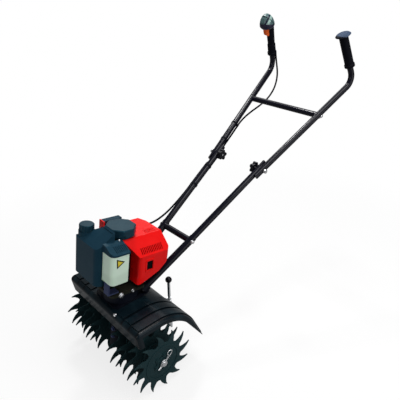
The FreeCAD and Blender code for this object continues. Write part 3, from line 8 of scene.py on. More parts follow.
import bpy
from mathutils import Quaternion, Vector
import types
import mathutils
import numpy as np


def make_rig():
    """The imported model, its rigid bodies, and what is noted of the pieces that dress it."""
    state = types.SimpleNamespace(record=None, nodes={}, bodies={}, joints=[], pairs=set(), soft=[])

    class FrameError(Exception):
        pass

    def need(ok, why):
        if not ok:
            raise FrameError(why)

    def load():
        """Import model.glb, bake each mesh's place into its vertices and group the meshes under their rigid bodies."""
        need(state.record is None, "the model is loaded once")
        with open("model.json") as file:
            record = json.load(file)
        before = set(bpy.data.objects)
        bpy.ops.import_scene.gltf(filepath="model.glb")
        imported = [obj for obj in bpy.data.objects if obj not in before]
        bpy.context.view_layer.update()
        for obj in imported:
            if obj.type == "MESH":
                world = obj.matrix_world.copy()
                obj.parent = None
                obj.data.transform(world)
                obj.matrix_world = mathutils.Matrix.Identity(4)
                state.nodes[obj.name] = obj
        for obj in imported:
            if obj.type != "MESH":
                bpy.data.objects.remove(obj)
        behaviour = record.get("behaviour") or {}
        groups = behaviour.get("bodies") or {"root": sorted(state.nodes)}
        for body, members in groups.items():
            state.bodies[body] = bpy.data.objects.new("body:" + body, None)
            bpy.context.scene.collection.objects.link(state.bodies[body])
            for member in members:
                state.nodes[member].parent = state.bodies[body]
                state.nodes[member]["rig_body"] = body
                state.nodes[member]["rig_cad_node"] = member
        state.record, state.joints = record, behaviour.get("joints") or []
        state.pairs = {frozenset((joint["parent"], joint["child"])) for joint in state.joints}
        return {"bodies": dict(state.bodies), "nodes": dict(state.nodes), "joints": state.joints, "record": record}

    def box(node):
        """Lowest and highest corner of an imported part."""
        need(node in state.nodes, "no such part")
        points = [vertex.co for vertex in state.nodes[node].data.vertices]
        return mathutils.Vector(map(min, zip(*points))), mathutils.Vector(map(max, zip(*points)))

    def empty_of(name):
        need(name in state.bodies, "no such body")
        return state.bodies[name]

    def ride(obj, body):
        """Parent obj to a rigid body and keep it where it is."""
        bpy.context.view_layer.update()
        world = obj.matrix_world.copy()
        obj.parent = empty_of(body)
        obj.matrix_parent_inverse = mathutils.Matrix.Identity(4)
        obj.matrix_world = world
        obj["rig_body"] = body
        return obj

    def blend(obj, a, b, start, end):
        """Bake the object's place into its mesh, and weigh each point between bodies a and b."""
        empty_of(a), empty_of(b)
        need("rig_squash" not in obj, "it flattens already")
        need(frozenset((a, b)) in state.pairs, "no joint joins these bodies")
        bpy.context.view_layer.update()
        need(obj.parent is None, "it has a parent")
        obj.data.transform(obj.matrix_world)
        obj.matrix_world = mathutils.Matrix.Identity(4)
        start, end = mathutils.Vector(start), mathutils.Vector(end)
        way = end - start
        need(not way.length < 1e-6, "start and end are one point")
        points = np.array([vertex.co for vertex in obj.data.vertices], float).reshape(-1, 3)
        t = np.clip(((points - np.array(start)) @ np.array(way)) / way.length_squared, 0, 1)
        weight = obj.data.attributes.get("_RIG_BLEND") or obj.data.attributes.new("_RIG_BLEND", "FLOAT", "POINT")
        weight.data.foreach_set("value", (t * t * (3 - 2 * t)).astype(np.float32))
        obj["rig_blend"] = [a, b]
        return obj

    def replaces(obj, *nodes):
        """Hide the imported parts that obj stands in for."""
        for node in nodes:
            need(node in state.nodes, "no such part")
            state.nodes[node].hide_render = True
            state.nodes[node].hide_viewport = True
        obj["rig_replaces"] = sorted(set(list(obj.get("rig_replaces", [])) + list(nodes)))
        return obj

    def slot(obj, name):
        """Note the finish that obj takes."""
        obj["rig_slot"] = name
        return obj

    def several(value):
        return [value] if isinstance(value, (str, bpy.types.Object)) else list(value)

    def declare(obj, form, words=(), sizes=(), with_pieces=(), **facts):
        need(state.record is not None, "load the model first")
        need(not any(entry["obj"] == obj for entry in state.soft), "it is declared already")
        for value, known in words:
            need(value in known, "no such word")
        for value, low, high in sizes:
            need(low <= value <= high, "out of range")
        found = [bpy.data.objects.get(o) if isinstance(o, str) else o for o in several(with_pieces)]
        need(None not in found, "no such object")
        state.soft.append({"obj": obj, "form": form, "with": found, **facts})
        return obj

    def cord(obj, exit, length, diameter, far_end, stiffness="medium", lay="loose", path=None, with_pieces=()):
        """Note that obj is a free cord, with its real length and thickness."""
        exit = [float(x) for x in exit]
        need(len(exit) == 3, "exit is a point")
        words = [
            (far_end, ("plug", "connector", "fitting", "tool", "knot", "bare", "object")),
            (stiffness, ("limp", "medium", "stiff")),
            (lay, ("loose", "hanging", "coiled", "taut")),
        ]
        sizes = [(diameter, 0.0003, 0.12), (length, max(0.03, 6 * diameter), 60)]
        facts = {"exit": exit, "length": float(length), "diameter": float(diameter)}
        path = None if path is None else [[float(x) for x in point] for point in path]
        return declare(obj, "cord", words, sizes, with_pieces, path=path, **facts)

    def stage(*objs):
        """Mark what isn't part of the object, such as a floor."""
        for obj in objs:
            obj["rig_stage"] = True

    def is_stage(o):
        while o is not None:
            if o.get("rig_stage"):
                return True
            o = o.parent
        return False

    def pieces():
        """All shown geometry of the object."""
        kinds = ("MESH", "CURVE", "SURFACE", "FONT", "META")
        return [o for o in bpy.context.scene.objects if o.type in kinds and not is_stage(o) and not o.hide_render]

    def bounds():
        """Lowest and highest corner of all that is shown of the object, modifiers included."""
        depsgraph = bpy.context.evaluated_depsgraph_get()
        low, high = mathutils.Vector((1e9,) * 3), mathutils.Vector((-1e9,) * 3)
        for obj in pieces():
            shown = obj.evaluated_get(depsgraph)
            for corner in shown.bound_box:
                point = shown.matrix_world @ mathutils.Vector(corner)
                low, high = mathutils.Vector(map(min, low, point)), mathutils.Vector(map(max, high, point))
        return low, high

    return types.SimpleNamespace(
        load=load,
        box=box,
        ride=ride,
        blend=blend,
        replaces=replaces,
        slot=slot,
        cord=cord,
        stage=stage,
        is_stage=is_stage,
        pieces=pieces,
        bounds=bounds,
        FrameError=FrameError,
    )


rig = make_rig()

log = logging.getLogger("mini_tiller")

Colour = tuple[float, float, float]
Operand = Union["Signal", int, float]
Place = tuple[float, float, float]
Solid = bpy.types.Object

WHITE: Colour = (1.0, 1.0, 1.0)
LEFT = Vector((1.0, 0.0, 0.0))
REAR = Vector((0.0, 1.0, 0.0))
UP = Vector((0.0, 0.0, 1.0))
CLEAR_OF_MACHINE = 1.0  # how far out a line to a surface starts, in metres


class Body(Enum):
    """The bodies of the machine that carry added pieces."""

    FRAME = "main_frame"
    HANDLE = "upper_handle"


# ---- shader expressions ------------------------------------------------------------------


class Signal:
    """A shader socket that can be written into arithmetic."""

    def __init__(self, graph: "Graph", socket: bpy.types.NodeSocket) -> None:
        """Wrap a socket.

        Args:
            graph: The material graph that owns the socket.
            socket: An output socket.
        """
        self.graph = graph
        self.socket = socket

    def _math(self, operation: str, *inputs: Operand) -> "Signal":
        """Add one Math node for an operation on its inputs."""
        return self.graph.add("ShaderNodeMath", {"operation": operation}, dict(enumerate(inputs)))

    def __add__(self, other: Operand) -> "Signal":
        """Sum with a number or another signal."""
        return self._math("ADD", self, other)

    def __radd__(self, other: Operand) -> "Signal":
        """Sum with a number on the left."""
        return self._math("ADD", other, self)

    def __sub__(self, other: Operand) -> "Signal":
        """Difference with a number or another signal."""
        return self._math("SUBTRACT", self, other)

    def __rsub__(self, other: Operand) -> "Signal":
        """Difference with a number on the left."""
        return self._math("SUBTRACT", other, self)

    def __mul__(self, other: Operand) -> "Signal":
        """Product with a number or another signal."""
        return self._math("MULTIPLY", self, other)

    def __rmul__(self, other: Operand) -> "Signal":
        """Product with a number on the left."""
        return self._math("MULTIPLY", other, self)

    def __truediv__(self, other: Operand) -> "Signal":
        """Quotient with a number or another signal."""
        return self._math("DIVIDE", self, other)

    def __rtruediv__(self, other: Operand) -> "Signal":
        """Quotient with a number on the left."""
        return self._math("DIVIDE", other, self)

    def __pow__(self, other: Operand) -> "Signal":
        """Power of the signal."""
        return self._math("POWER", self, other)

    def __rpow__(self, other: Operand) -> "Signal":
        """Power of a number on the left."""
        return self._math("POWER", other, self)

    def __abs__(self) -> "Signal":
        """The signal without its sign."""
        return self._math("ABSOLUTE", self)

    def __round__(self) -> "Signal":
        """The nearest whole number."""
        return self._math("ROUND", self)

    def clamp(self) -> "Signal":
        """The signal held between nought and one."""
        return self.graph.add("ShaderNodeClamp", {}, {0: self})


class Graph:
    """Builds a node tree from expressions."""

    def __init__(self, tree: bpy.types.NodeTree, output_kind: str) -> None:
        """Empty a tree and give it its output.

        Args:
            tree: The node tree of a material or a world.
            output_kind: The type name of its output node.
        """
        self.tree = tree
        self.tree.nodes.clear()
        self.output = self.tree.nodes.new(output_kind)

    def show(self, shader: Signal) -> None:
        """Send a shader to the output."""
        self.tree.links.new(shader.socket, self.output.inputs["Surface"])

    def add(self, kind: str, settings: dict, inputs: dict, output: Union[int, str] = 0) -> Signal:
        """Add a node with settings first and then its inputs.

        Args:
            kind: The node's type name.
            settings: Attributes set before any input.
            inputs: Values or signals by socket name or index.
            output: The output that the result stands for.

        Returns:
            The chosen output as a signal.
        """
        node = self.tree.nodes.new(kind)
        for key, value in settings.items():
            setattr(node, key, value)
        for key, value in inputs.items():
            self.feed(node.inputs[key], value)
        return Signal(self, node.outputs[output])

    def feed(self, socket: bpy.types.NodeSocket, value: object) -> None:
        """Link a signal to an input socket, or set the socket to a value.

        Args:
            socket: The input socket.
            value: A signal, a number, a vector or a colour.
        """
        if isinstance(value, Signal):
            self.tree.links.new(value.socket, socket)
        elif socket.type == "RGBA":
            socket.default_value = (*value, 1.0)
        else:
            socket.default_value = value

    def place(self) -> Signal:
        """Object coordinates, in metres."""
        return self.add("ShaderNodeTexCoord", {}, {}, "Object")

    def along(self, axis: str) -> Signal:
        """One component of the object coordinates."""
        return self.add("ShaderNodeSeparateXYZ", {}, {0: self.place()}, axis)

    def noise(self, scale: float, detail: float) -> Signal:
        """Smooth noise over the object, about 0 to 1, with so many features a metre and octaves."""
        inputs = {"Vector": self.place(), "Scale": scale, "Detail": detail}
        return self.add("ShaderNodeTexNoise", {}, inputs)

    def mix(self, share: Operand, first: object, second: object) -> Signal:
        """Mix two colours: 6, 7 and 2 are the Mix node's own colour sockets.

        Args:
            share: How much of the second colour shows.
            first: Colour or signal.
            second: Colour or signal.

        Returns:
            The mixed colour.
        """
        return self.add("ShaderNodeMix", {"data_type": "RGBA"}, {0: share, 6: first, 7: second}, 2)

    def ramp(self, value: Signal, low: float, high: float) -> Signal:
        """Stretch a signal so that low becomes nought and high becomes one.

        Args:
            value: The signal.
            low: Its value that becomes nought.
            high: Its value that becomes one.

        Returns:
            The stretched signal, which eases in and out.
        """
        return self.add(
            "ShaderNodeMapRange",
            {"clamp": True, "interpolation_type": "SMOOTHSTEP"},
            {"Value": value, "From Min": low, "From Max": high},
        )

    def under(self, value: Signal, edge: float, blur: float) -> Signal:
        """One where a signal is under an edge, nought over it, and soft within the blur."""
        return self.ramp(value, edge + blur, edge - blur)

    def bump(self, height: Signal, distance: float, strength: float) -> Signal:
        """Turn a height signal into a normal."""
        inputs = {"Height": height, "Distance": distance, "Strength": strength}
        return self.add("ShaderNodeBump", {}, inputs, "Normal")


class Paint(Graph):
    """Builds one material around a Principled shader."""

    def __init__(self, name: str) -> None:
        """Start a material.

        Args:
            name: The material's name.
        """
        self.material = bpy.data.materials.new(name)
        self.material.use_nodes = True
        super().__init__(self.material.node_tree, "ShaderNodeOutputMaterial")
        self.shader = self.add("ShaderNodeBsdfPrincipled", {}, {}, "BSDF")
        self.show(self.shader)

    def set(self, **sockets: object) -> None:
        """Feed the shader's own sockets, named with underscores for spaces."""
        for key, value in sockets.items():
            self.feed(self.shader.socket.node.inputs[key.replace("_", " ")], value)


# ---- finishes ----------------------------------------------------------------------------


@dataclass(frozen=True)
class Cloud:
    """Soft patches where a second colour shows."""

    scale: float
    detail: float
    low: float
    high: float
    share: float

    def on(self, paint: Paint, lift: Optional[Signal] = None) -> Signal:
        """How much of the second colour shows.

        Args:
            paint: The material that gets the patches.
            lift: What is added to the noise where the patches gather.

        Returns:
            The share, from nought to the most that shows.
        """
        noise = paint.noise(self.scale, self.detail)
        if lift is not None:
            noise = noise + lift
        return paint.ramp(noise, self.low, self.high) * self.share


@dataclass(frozen=True)
class Mottle:
    """Uneven roughness."""

    spread: float
    scale: float
    detail: float = 3.0

    def on(self, paint: Paint) -> Signal:
        """What is added to the roughness."""
        return paint.noise(self.scale, self.detail) * self.spread


@dataclass(frozen=True)
class Grain:
    """A fine surface texture."""

    scale: float
    distance: float
    strength: float
    detail: float = 2.0

    def on(self, paint: Paint) -> Signal:
        """The normal of the texture."""
        return paint.bump(paint.noise(self.scale, self.detail), self.distance, self.strength)


@dataclass(frozen=True)
class Finish:
    """A surface with a colour that changes to a second one in soft patches, wear on most finishes and painted sheen on
    the fender, and with a fine grain.
    """

    name: str
    colour: Colour = (0.03, 0.04, 0.05)
    wear_and_sheen: Colour = (0.05, 0.06, 0.07)
    roughness: float = 0.38
    gloss: float = 0.14
    cloud: Cloud = Cloud(14.0, 4.0, 0.42, 0.75, 0.6)
    mottle: Mottle = Mottle(0.08, 60.0)
    grain: Optional[Grain] = None

    def material(self) -> bpy.types.Material:
        """The finish's material, made on first use.

        Returns:
            The material of that name.
        """
        found = bpy.data.materials.get(self.name)
        if found:
            return found
        paint = Paint(self.name)
        self.lay(paint)
        return paint.material

    def lay(self, paint: Paint) -> None:
        """Set the shader's sockets.

        Args:
            paint: The material that is being made.
        """
        paint.set(
            Base_Color=self.tone(paint),
            Roughness=self.roughness + self.mottle.on(paint),
            Specular_IOR_Level=self.gloss,
        )
        if self.grain:
            paint.set(Normal=self.grain.on(paint))

    def tone(self, paint: Paint) -> Signal:
        """The colour over the surface."""
        return paint.mix(self.cloud.on(paint), self.colour, self.wear_and_sheen)


@dataclass(frozen=True)
class TubePaint(Finish):
    """Glossy black powder coat with a faint blue cast and a thin film of dust."""

    colour: Colour = (0.0028, 0.0028, 0.0085)
    wear_and_sheen: Colour = (0.006, 0.006, 0.013)
    roughness: float = 0.13
    gloss: float = 0.20
    cloud: Cloud = Cloud(9.0, 3.0, 0.5, 0.8, 0.5)
    mottle: Mottle = Mottle(0.06, 35.0)


@dataclass(frozen=True)
class Moulded(Finish):
    """Injection-moulded plastic with a fine grain and rubbed spots."""

    grain: Optional[Grain] = Grain(900.0, 0.0002, 0.4)
    sheen: Colour = WHITE

    def lay(self, paint: Paint) -> None:
        """Set the shader's sockets, with the tint of the gloss."""
        super().lay(paint)
        paint.set(Specular_Tint=self.sheen)


@dataclass(frozen=True)
class PodPlastic(Finish):
    """Grey-green throttle housing with painted shade in a slanted groove, a pale stripe beside it and a dark lower
    rim.
    """

    colour: Colour = (0.070, 0.130, 0.135)
    roughness: float = 0.30
    gloss: float = 0.35
    grain: Optional[Grain] = Grain(700.0, 0.0001, 0.3)
    # painted shade for the slanted groove
    slant_groove_shade: Colour = (0.004, 0.006, 0.030)
    stripe: Colour = (0.36, 0.52, 0.48)
    rim: Colour = (0.010, 0.008, 0.030)
    crown: float = 0.0
    middle: tuple[float, float] = (0.0, 0.0)
    across_x: float = 0.68
    across_y: float = 0.73
    lean: float = 0.50
    rim_drop: float = 0.038
    rim_blur: float = 0.0012
    band_at: float = -0.0015
    band_half: float = 0.0030
    stripe_at: float = 0.0088
    stripe_half: float = 0.0050
    blur: float = 0.0006

    def tone(self, paint: Paint) -> Signal:
        """The housing's colour with its stripe, painted groove shade and rim.

        Args:
            paint: The material that is being made.

        Returns:
            The colour.
        """
        level = paint.along("Z") - self.crown + self.rim_drop / 2
        across = ((paint.along("X") - self.middle[0]) * self.across_x
                  + (paint.along("Y") - self.middle[1]) * self.across_y - level * self.lean)
        on_stripe = paint.under(abs(across - self.stripe_at), self.stripe_half, self.blur)
        # painted shade along the slanted groove
        on_band = paint.under(abs(across - self.band_at), self.band_half, self.blur)
        on_rim = paint.under(paint.along("Z"), self.crown - self.rim_drop, self.rim_blur)
        striped = paint.mix(on_stripe, self.colour, self.stripe)
        return paint.mix(on_rim, paint.mix(on_band, striped, self.slant_groove_shade), self.rim)


@dataclass(frozen=True)
class FenderPlastic(Finish):
    """Dark glossy fender plastic with patches of painted sheen, and painted shade in the grooves between the raised
    bands.
    """

    colour: Colour = (0.0030, 0.0085, 0.0130)
    # painted sheen: the lighter patches on the fender
    wear_and_sheen: Colour = (0.010, 0.026, 0.036)
    roughness: float = 0.24
    cloud: Cloud = Cloud(22.0, 5.0, 0.45, 0.75, 0.6)
    mottle: Mottle = Mottle(0.10, 40.0, 4.0)
    grain: Optional[Grain] = Grain(600.0, 0.0001, 0.3)
    # painted shade for the grooves between the raised bands
    groove_shade: Colour = (0.0008, 0.0018, 0.0035)
    groove_shade_share: float = 0.8
    first_band: float = 0.0925
    band_pitch: float = 0.037
    band_half: float = 0.0145
    blur: float = 0.0012

    def tone(self, paint: Paint) -> Signal:
        """The colour with patches of painted sheen, and painted shade in the grooves.

        Args:
            paint: The material that is being made.

        Returns:
            The colour.
        """
        off = abs(paint.along("X"))
        turns = (off - self.first_band) / self.band_pitch
        on_band = paint.under(abs((turns - round(turns)) * self.band_pitch), self.band_half, self.blur)
        banded = paint.ramp(off, self.first_band - self.band_pitch / 2, self.first_band - self.band_half)
        # painted shade: the grooves between the raised bands are darkened
        return paint.mix((1 - on_band) * banded * self.groove_shade_share, super().tone(paint), self.groove_shade)


@dataclass(frozen=True)
class TankPlastic(Finish):
    """Milky tank plastic that lets some light through, with a faint fuel level."""

    colour: Colour = (0.74, 0.92, 0.77)
    roughness: float = 0.36
    gloss: float = 0.35
    mottle: Mottle = Mottle(0.06, 80.0)
    grain: Optional[Grain] = Grain(500.0, 0.0001, 0.4)
    fuel: Colour = (0.54, 0.68, 0.56)
    fuel_share: float = 0.35
    level: float = 0.0
    dry_rise: float = 0.010
    wet_drop: float = 0.006
    ripple: Mottle = Mottle(0.002, 20.0)
    scatter: float = 0.6
    scatter_reach: Place = (0.03, 0.034, 0.03)

    def lay(self, paint: Paint) -> None:
        """Set the shader's sockets, with the light that passes into the wall."""
        super().lay(paint)
        paint.set(Subsurface_Weight=self.scatter, Subsurface_Radius=self.scatter_reach)

    def tone(self, paint: Paint) -> Signal:
        """The milky colour, a little darker under the fuel level.

        Args:
            paint: The material that is being made.

        Returns:
            The colour.
        """
        height = paint.along("Z") + self.ripple.on(paint)
        wet = paint.ramp(height, self.level + self.dry_rise, self.level - self.wet_drop)
        return paint.mix(wet * self.fuel_share, self.colour, self.fuel)


@dataclass(frozen=True)
class CastPaint(Finish):
    """Painted casting with a coarse sand texture."""

    colour: Colour = (0.0030, 0.0045, 0.0100)
    wear_and_sheen: Colour = (0.012, 0.015, 0.024)
    roughness: float = 0.42
    gloss: float = 0.12
    cloud: Cloud = Cloud(18.0, 5.0, 0.45, 0.72, 0.6)
    mottle: Mottle = Mottle(0.2, 260.0, 5.0)
    grain: Optional[Grain] = Grain(260.0, 0.0006, 0.5, 5.0)


@dataclass(frozen=True)
class TineSteel(Finish):
    """Dark painted steel plate with scuffs toward the tips of the teeth."""

    colour: Colour = (0.014, 0.038, 0.044)
    wear_and_sheen: Colour = (0.028, 0.058, 0.062)
    roughness: float = 0.40
    gloss: float = 0.08
    cloud: Cloud = Cloud(70.0, 5.0, 0.56, 0.72, 0.7)
    mottle: Mottle = Mottle(0.20, 45.0, 4.0)
    grain: Optional[Grain] = Grain(180.0, 0.0004, 0.5, 4.0)
    axle_y: float = 0.0
    axle_z: float = 0.0
    root: float = 0.076
    tip: float = 0.113
    tip_wear: float = 0.16

    def tone(self, paint: Paint) -> Signal:
        """The paint with its scuffs.

        Args:
            paint: The material that is being made.

        Returns:
            The colour.
        """
        off_y = paint.along("Y") - self.axle_y
        off_z = paint.along("Z") - self.axle_z
        reach = (off_y * off_y + off_z * off_z) ** 0.5
        outward = paint.ramp(reach, self.root, self.tip)
        return paint.mix(self.cloud.on(paint, outward * self.tip_wear), self.colour, self.wear_and_sheen)


@dataclass(frozen=True)
class Plated(Finish):
    """Bright zinc or chrome plate with faint handling marks."""

    colour: Colour = (0.72, 0.73, 0.75)
    wear_and_sheen: Colour = (0.54, 0.5475, 0.5625)
    roughness: float = 0.20
    gloss: float = 0.5
    cloud: Cloud = Cloud(120.0, 4.0, 0.5, 0.8, 0.4)
    mottle: Mottle = Mottle(0.14, 120.0, 4.0)
    grain: Optional[Grain] = Grain(700.0, 0.0001, 0.3)

    def lay(self, paint: Paint) -> None:
        """Set the shader's sockets for bare metal."""
        super().lay(paint)
        paint.set(Metallic=1.0)


@dataclass(frozen=True)
class GripRubber(Finish):
    """Soft black rubber with a fine pebble texture; a grip's round cap is rubbed paler."""

    colour: Colour = (0.0016, 0.0020, 0.0050)
    wear_and_sheen: Colour = (0.004, 0.005, 0.010)
    roughness: float = 0.55
    gloss: float = 0.08
    cloud: Cloud = Cloud(30.0, 3.0, 0.45, 0.8, 0.6)
    mottle: Mottle = Mottle(0.12, 90.0)
    cap: Colour = (0.050, 0.075, 0.125)
    cap_level: float = 10.0  # above the machine, so that nothing has a cap unless this is set
    cap_blur: float = 0.002
    pebble_scale: float = 650.0
    pebble_height: float = 0.0003
    pebble_strength: float = 0.35

    def lay(self, paint: Paint) -> None:
        """Set the shader's sockets, with the pebbles.

        Args:
            paint: The material that is being made.
        """
        super().lay(paint)
        inputs = {"Vector": paint.place(), "Scale": self.pebble_scale}
        pebble = paint.add("ShaderNodeTexVoronoi", {"feature": "F1"}, inputs)
        paint.set(Normal=paint.bump(pebble, self.pebble_height, self.pebble_strength))

    def tone(self, paint: Paint) -> Signal:
        """The rubber's colour, and the cap's above its level."""
        on_cap = paint.ramp(paint.along("Z"), self.cap_level - self.cap_blur, self.cap_level + self.cap_blur)
        return paint.mix(on_cap, super().tone(paint), self.cap)


TUBE = TubePaint("tube_powder_coat")
COVER = Moulded("cover_plastic", colour=(0.008, 0.032, 0.054), wear_and_sheen=(0.013, 0.044, 0.070), roughness=0.34,
                sheen=(0.35, 0.85, 1.0))
CAP = Moulded("cap_plastic", colour=(0.006, 0.026, 0.044), wear_and_sheen=(0.010, 0.036, 0.058), roughness=0.32,
              gloss=0.26, sheen=(0.35, 0.90, 1.0))
RED = Moulded("shroud_red", colour=(0.86, 0.004, 0.004), wear_and_sheen=(0.92, 0.010, 0.009), roughness=0.26,
              gloss=0.18)
ORANGE = Moulded("trigger_orange", colour=(1.0, 0.15, 0.025), wear_and_sheen=(1.0, 0.20, 0.045), roughness=0.36)
KNOB = Moulded("knob_plastic", colour=(0.0022, 0.0024, 0.0055), wear_and_sheen=(0.006, 0.006, 0.010), roughness=0.20,
               gloss=0.20)
CASTING = CastPaint("gear_case_paint")
BRACKET = CastPaint("bracket_paint", colour=(0.045, 0.060, 0.135), wear_and_sheen=(0.085, 0.100, 0.190))
PLATE = CastPaint("plate_paint", colour=(0.0025, 0.0035, 0.0080), wear_and_sheen=(0.010, 0.012, 0.018))
ENGINE = CastPaint("engine_casting", colour=(0.012, 0.013, 0.009), wear_and_sheen=(0.026, 0.027, 0.020))
VOID = CastPaint("engine_block_paint", colour=(0.0020, 0.0018, 0.0022), wear_and_sheen=(0.006, 0.005, 0.006))
ZINC = Plated("zinc_plate")
CHROME = Plated("chrome_plate", colour=(0.84, 0.86, 0.88), wear_and_sheen=(0.63, 0.645, 0.66), roughness=0.08)
SCREEN = Moulded("screen_plastic", colour=(0.0015, 0.0020, 0.0030), wear_and_sheen=(0.003, 0.004, 0.006),
                 roughness=0.46, gloss=0.06)
SIGN = Moulded("sign_yellow", colour=(0.74, 0.60, 0.035), wear_and_sheen=(0.80, 0.68, 0.07), roughness=0.30, gloss=0.35)
SIGN_RIM = Moulded("sign_rim", colour=(0.010, 0.010, 0.008), wear_and_sheen=(0.02, 0.02, 0.016), roughness=0.36)


# ---- modelling by hand -------------------------------------------------------------------


class Bench:
    """Shapes new pieces with the modelling operators."""

    FACES_UP = 0.9
    SAME_LEVEL = 1e-5

    @staticmethod
    def clear() -> None:
        """Leave edit mode and let go of everything."""
        if bpy.context.object is not None and bpy.context.object.mode != "OBJECT":
            bpy.ops.object.mode_set(mode="OBJECT")
        bpy.ops.object.select_all(action="DESELECT")

    @staticmethod
    def hold(piece: Solid) -> None:
        """Select one piece alone.

        Args:
            piece: The piece.
        """
        Bench.clear()
        bpy.context.view_layer.objects.active = piece
        piece.select_set(True)

    @staticmethod
    def settle() -> Solid:
        """Put the held piece's place, turn and scale into its mesh, and hand it back."""
        bpy.ops.object.transform_apply(location=True, rotation=True, scale=True)
        return bpy.context.object

    @staticmethod
    def rod(radius: float, depth: float, sides: int, foot: float = 0.0) -> Solid:
        """Start from a round or many-sided rod that stands on a level.

        Args:
            radius: Radius to the corners.
            depth: Height of the rod.
            sides: Number of sides.
            foot: Height of the lower end.

        Returns:
            The new mesh object, selected.
        """
        Bench.clear()
        bpy.ops.mesh.primitive_cylinder_add(vertices=sides, radius=radius, depth=depth,
                                            location=(0.0, 0.0, foot + depth / 2))
        return Bench.settle()

    @staticmethod
    def block(half_x: float, half_y: float, depth: float) -> Solid:
        """Start from a block that stands on the origin.

        Args:
            half_x: Half its length along X.
            half_y: Half its width along Y.
            depth: Its height.

        Returns:
            The new mesh object, selected.
        """
        Bench.clear()
        bpy.ops.mesh.primitive_cube_add(size=1.0, location=(0.0, 0.0, depth / 2),
                                        scale=(2 * half_x, 2 * half_y, depth))
        return Bench.settle()

    @staticmethod
    def edit_top(piece: Solid) -> None:
        """Enter edit mode with only the top face selected.

        Args:
            piece: The piece to work on.
        """
        Bench.hold(piece)
        bpy.ops.object.mode_set(mode="EDIT")
        bpy.ops.mesh.select_mode(type="FACE")
        bpy.ops.mesh.select_all(action="DESELECT")
        bpy.ops.object.mode_set(mode="OBJECT")
        top = max(corner.co.z for corner in piece.data.vertices)
        for face in piece.data.polygons:
            face.select = face.normal.z > Bench.FACES_UP and face.center.z > top - Bench.SAME_LEVEL
        bpy.ops.object.mode_set(mode="EDIT")

    @staticmethod
    def sink(depth: float) -> None:
        """Push the selected faces straight down and leave edit mode."""
        bpy.ops.mesh.extrude_region_move(TRANSFORM_OT_translate={"value": (0.0, 0.0, -depth)})
        bpy.ops.object.mode_set(mode="OBJECT")

    @staticmethod
    def cells(piece: Solid, count: int, rim: float, depth: float) -> None:
        """Divide the top face into a grid and sink a straight cell into each part.

        Args:
            piece: The piece to work on.
            count: Number of cuts each way.
            rim: Width of the wall left round each cell.
            depth: How deep the cells go.
        """
        Bench.edit_top(piece)
        bpy.ops.mesh.subdivide(number_cuts=count)
        bpy.ops.mesh.inset(thickness=rim, depth=0.0, use_individual=True)
        Bench.sink(depth)

    @staticmethod
    def crown(piece: Solid, inset: float, rise: float) -> None:
        """Draw the top face in and lift it, which leaves a chamfer or a shallow crown.

        Args:
            piece: The piece to work on.
            inset: How far the top face is drawn in.
            rise: How far it is lifted.
        """
        Bench.edit_top(piece)
        bpy.ops.mesh.inset(thickness=inset, depth=0.0)
        bpy.ops.transform.translate(value=(0.0, 0.0, rise))
        bpy.ops.object.mode_set(mode="OBJECT")

    @staticmethod
    def recess(piece: Solid, inset: float, depth: float) -> None:
        """Sink a straight-walled recess into the top face.

        Args:
            piece: The piece to work on.
            inset: Width of the rim that stays.
            depth: How deep the recess goes.
        """
        Bench.edit_top(piece)
        bpy.ops.mesh.inset(thickness=inset, depth=0.0)
        Bench.sink(depth)

    @staticmethod
    def soften(piece: Solid, width: float, segments: int = 2, angle_deg: float = 40.0) -> None:
        """Round the sharp edges with an applied bevel and smooth the rest.

        Args:
            piece: The piece to work on.
            width: Width of the rounding.
            segments: Number of steps round an edge.
            angle_deg: The least turn between faces that counts as an edge.
        """
        Bench.hold(piece)
        bevel = piece.modifiers.new("edge", "BEVEL")
        bevel.width = width
        bevel.segments = segments
        bevel.limit_method = "ANGLE"
        bevel.angle_limit = math.radians(angle_deg)
        bpy.ops.object.modifier_apply(modifier=bevel.name)
        bpy.ops.object.shade_smooth_by_angle(angle=math.radians(angle_deg))

    @staticmethod
    def join(pieces: Sequence[Solid], name: str) -> Solid:
        """Join pieces into one mesh with a name.

        Args:
            pieces: The pieces to join.
            name: The name of the result.

        Returns:
            The joined piece.
        """
        Bench.clear()
        for piece in pieces:
            piece.select_set(True)
        bpy.context.view_layer.objects.active = pieces[0]
        if len(pieces) > 1:
            bpy.ops.object.join()
        joined = bpy.context.object
        joined.name = name
        joined.data.name = name
        return joined

    @staticmethod
    def copy(piece: Solid) -> Solid:
        """A copy with a mesh of its own.

        Args:
            piece: The piece to copy.

        Returns:
            The copy.
        """
        twin = piece.copy()
        twin.data = piece.data.copy()
        bpy.context.scene.collection.objects.link(twin)
        return twin

    @staticmethod
    def seat(piece: Solid, foot: Vector, axis: Vector, turn_deg: float = 0.0) -> None:
        """Stand a piece that was made on the origin along +Z onto a place.

        Args:
            piece: The piece.
            foot: Where its foot goes.
            axis: Which way its +Z goes.
            turn_deg: Turn about its own axis first.
        """
        lean = UP.rotation_difference(axis.normalized())
        turn = Quaternion(UP, math.radians(turn_deg))
        piece.rotation_mode = "QUATERNION"
        piece.rotation_quaternion = lean @ turn
        piece.location = foot
        Bench.hold(piece)
        Bench.settle()

    @staticmethod
    def finish(piece: Solid, name: str, body: Body, finish: Finish, slot: str) -> None:
        """Name and dress a finished piece, let it ride on a body and report it.

        Args:
            piece: The piece.
            name: Its name.
            body: The body that carries it.
            finish: Its finish.
            slot: The record's material slot.
        """
        piece.name = name
        piece.data.materials.clear()
        piece.data.materials.append(finish.material())
        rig.ride(piece, body.value)
        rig.slot(piece, slot)
        log.info("%s: %d faces on %s", piece.name, len(piece.data.polygons), body.value)


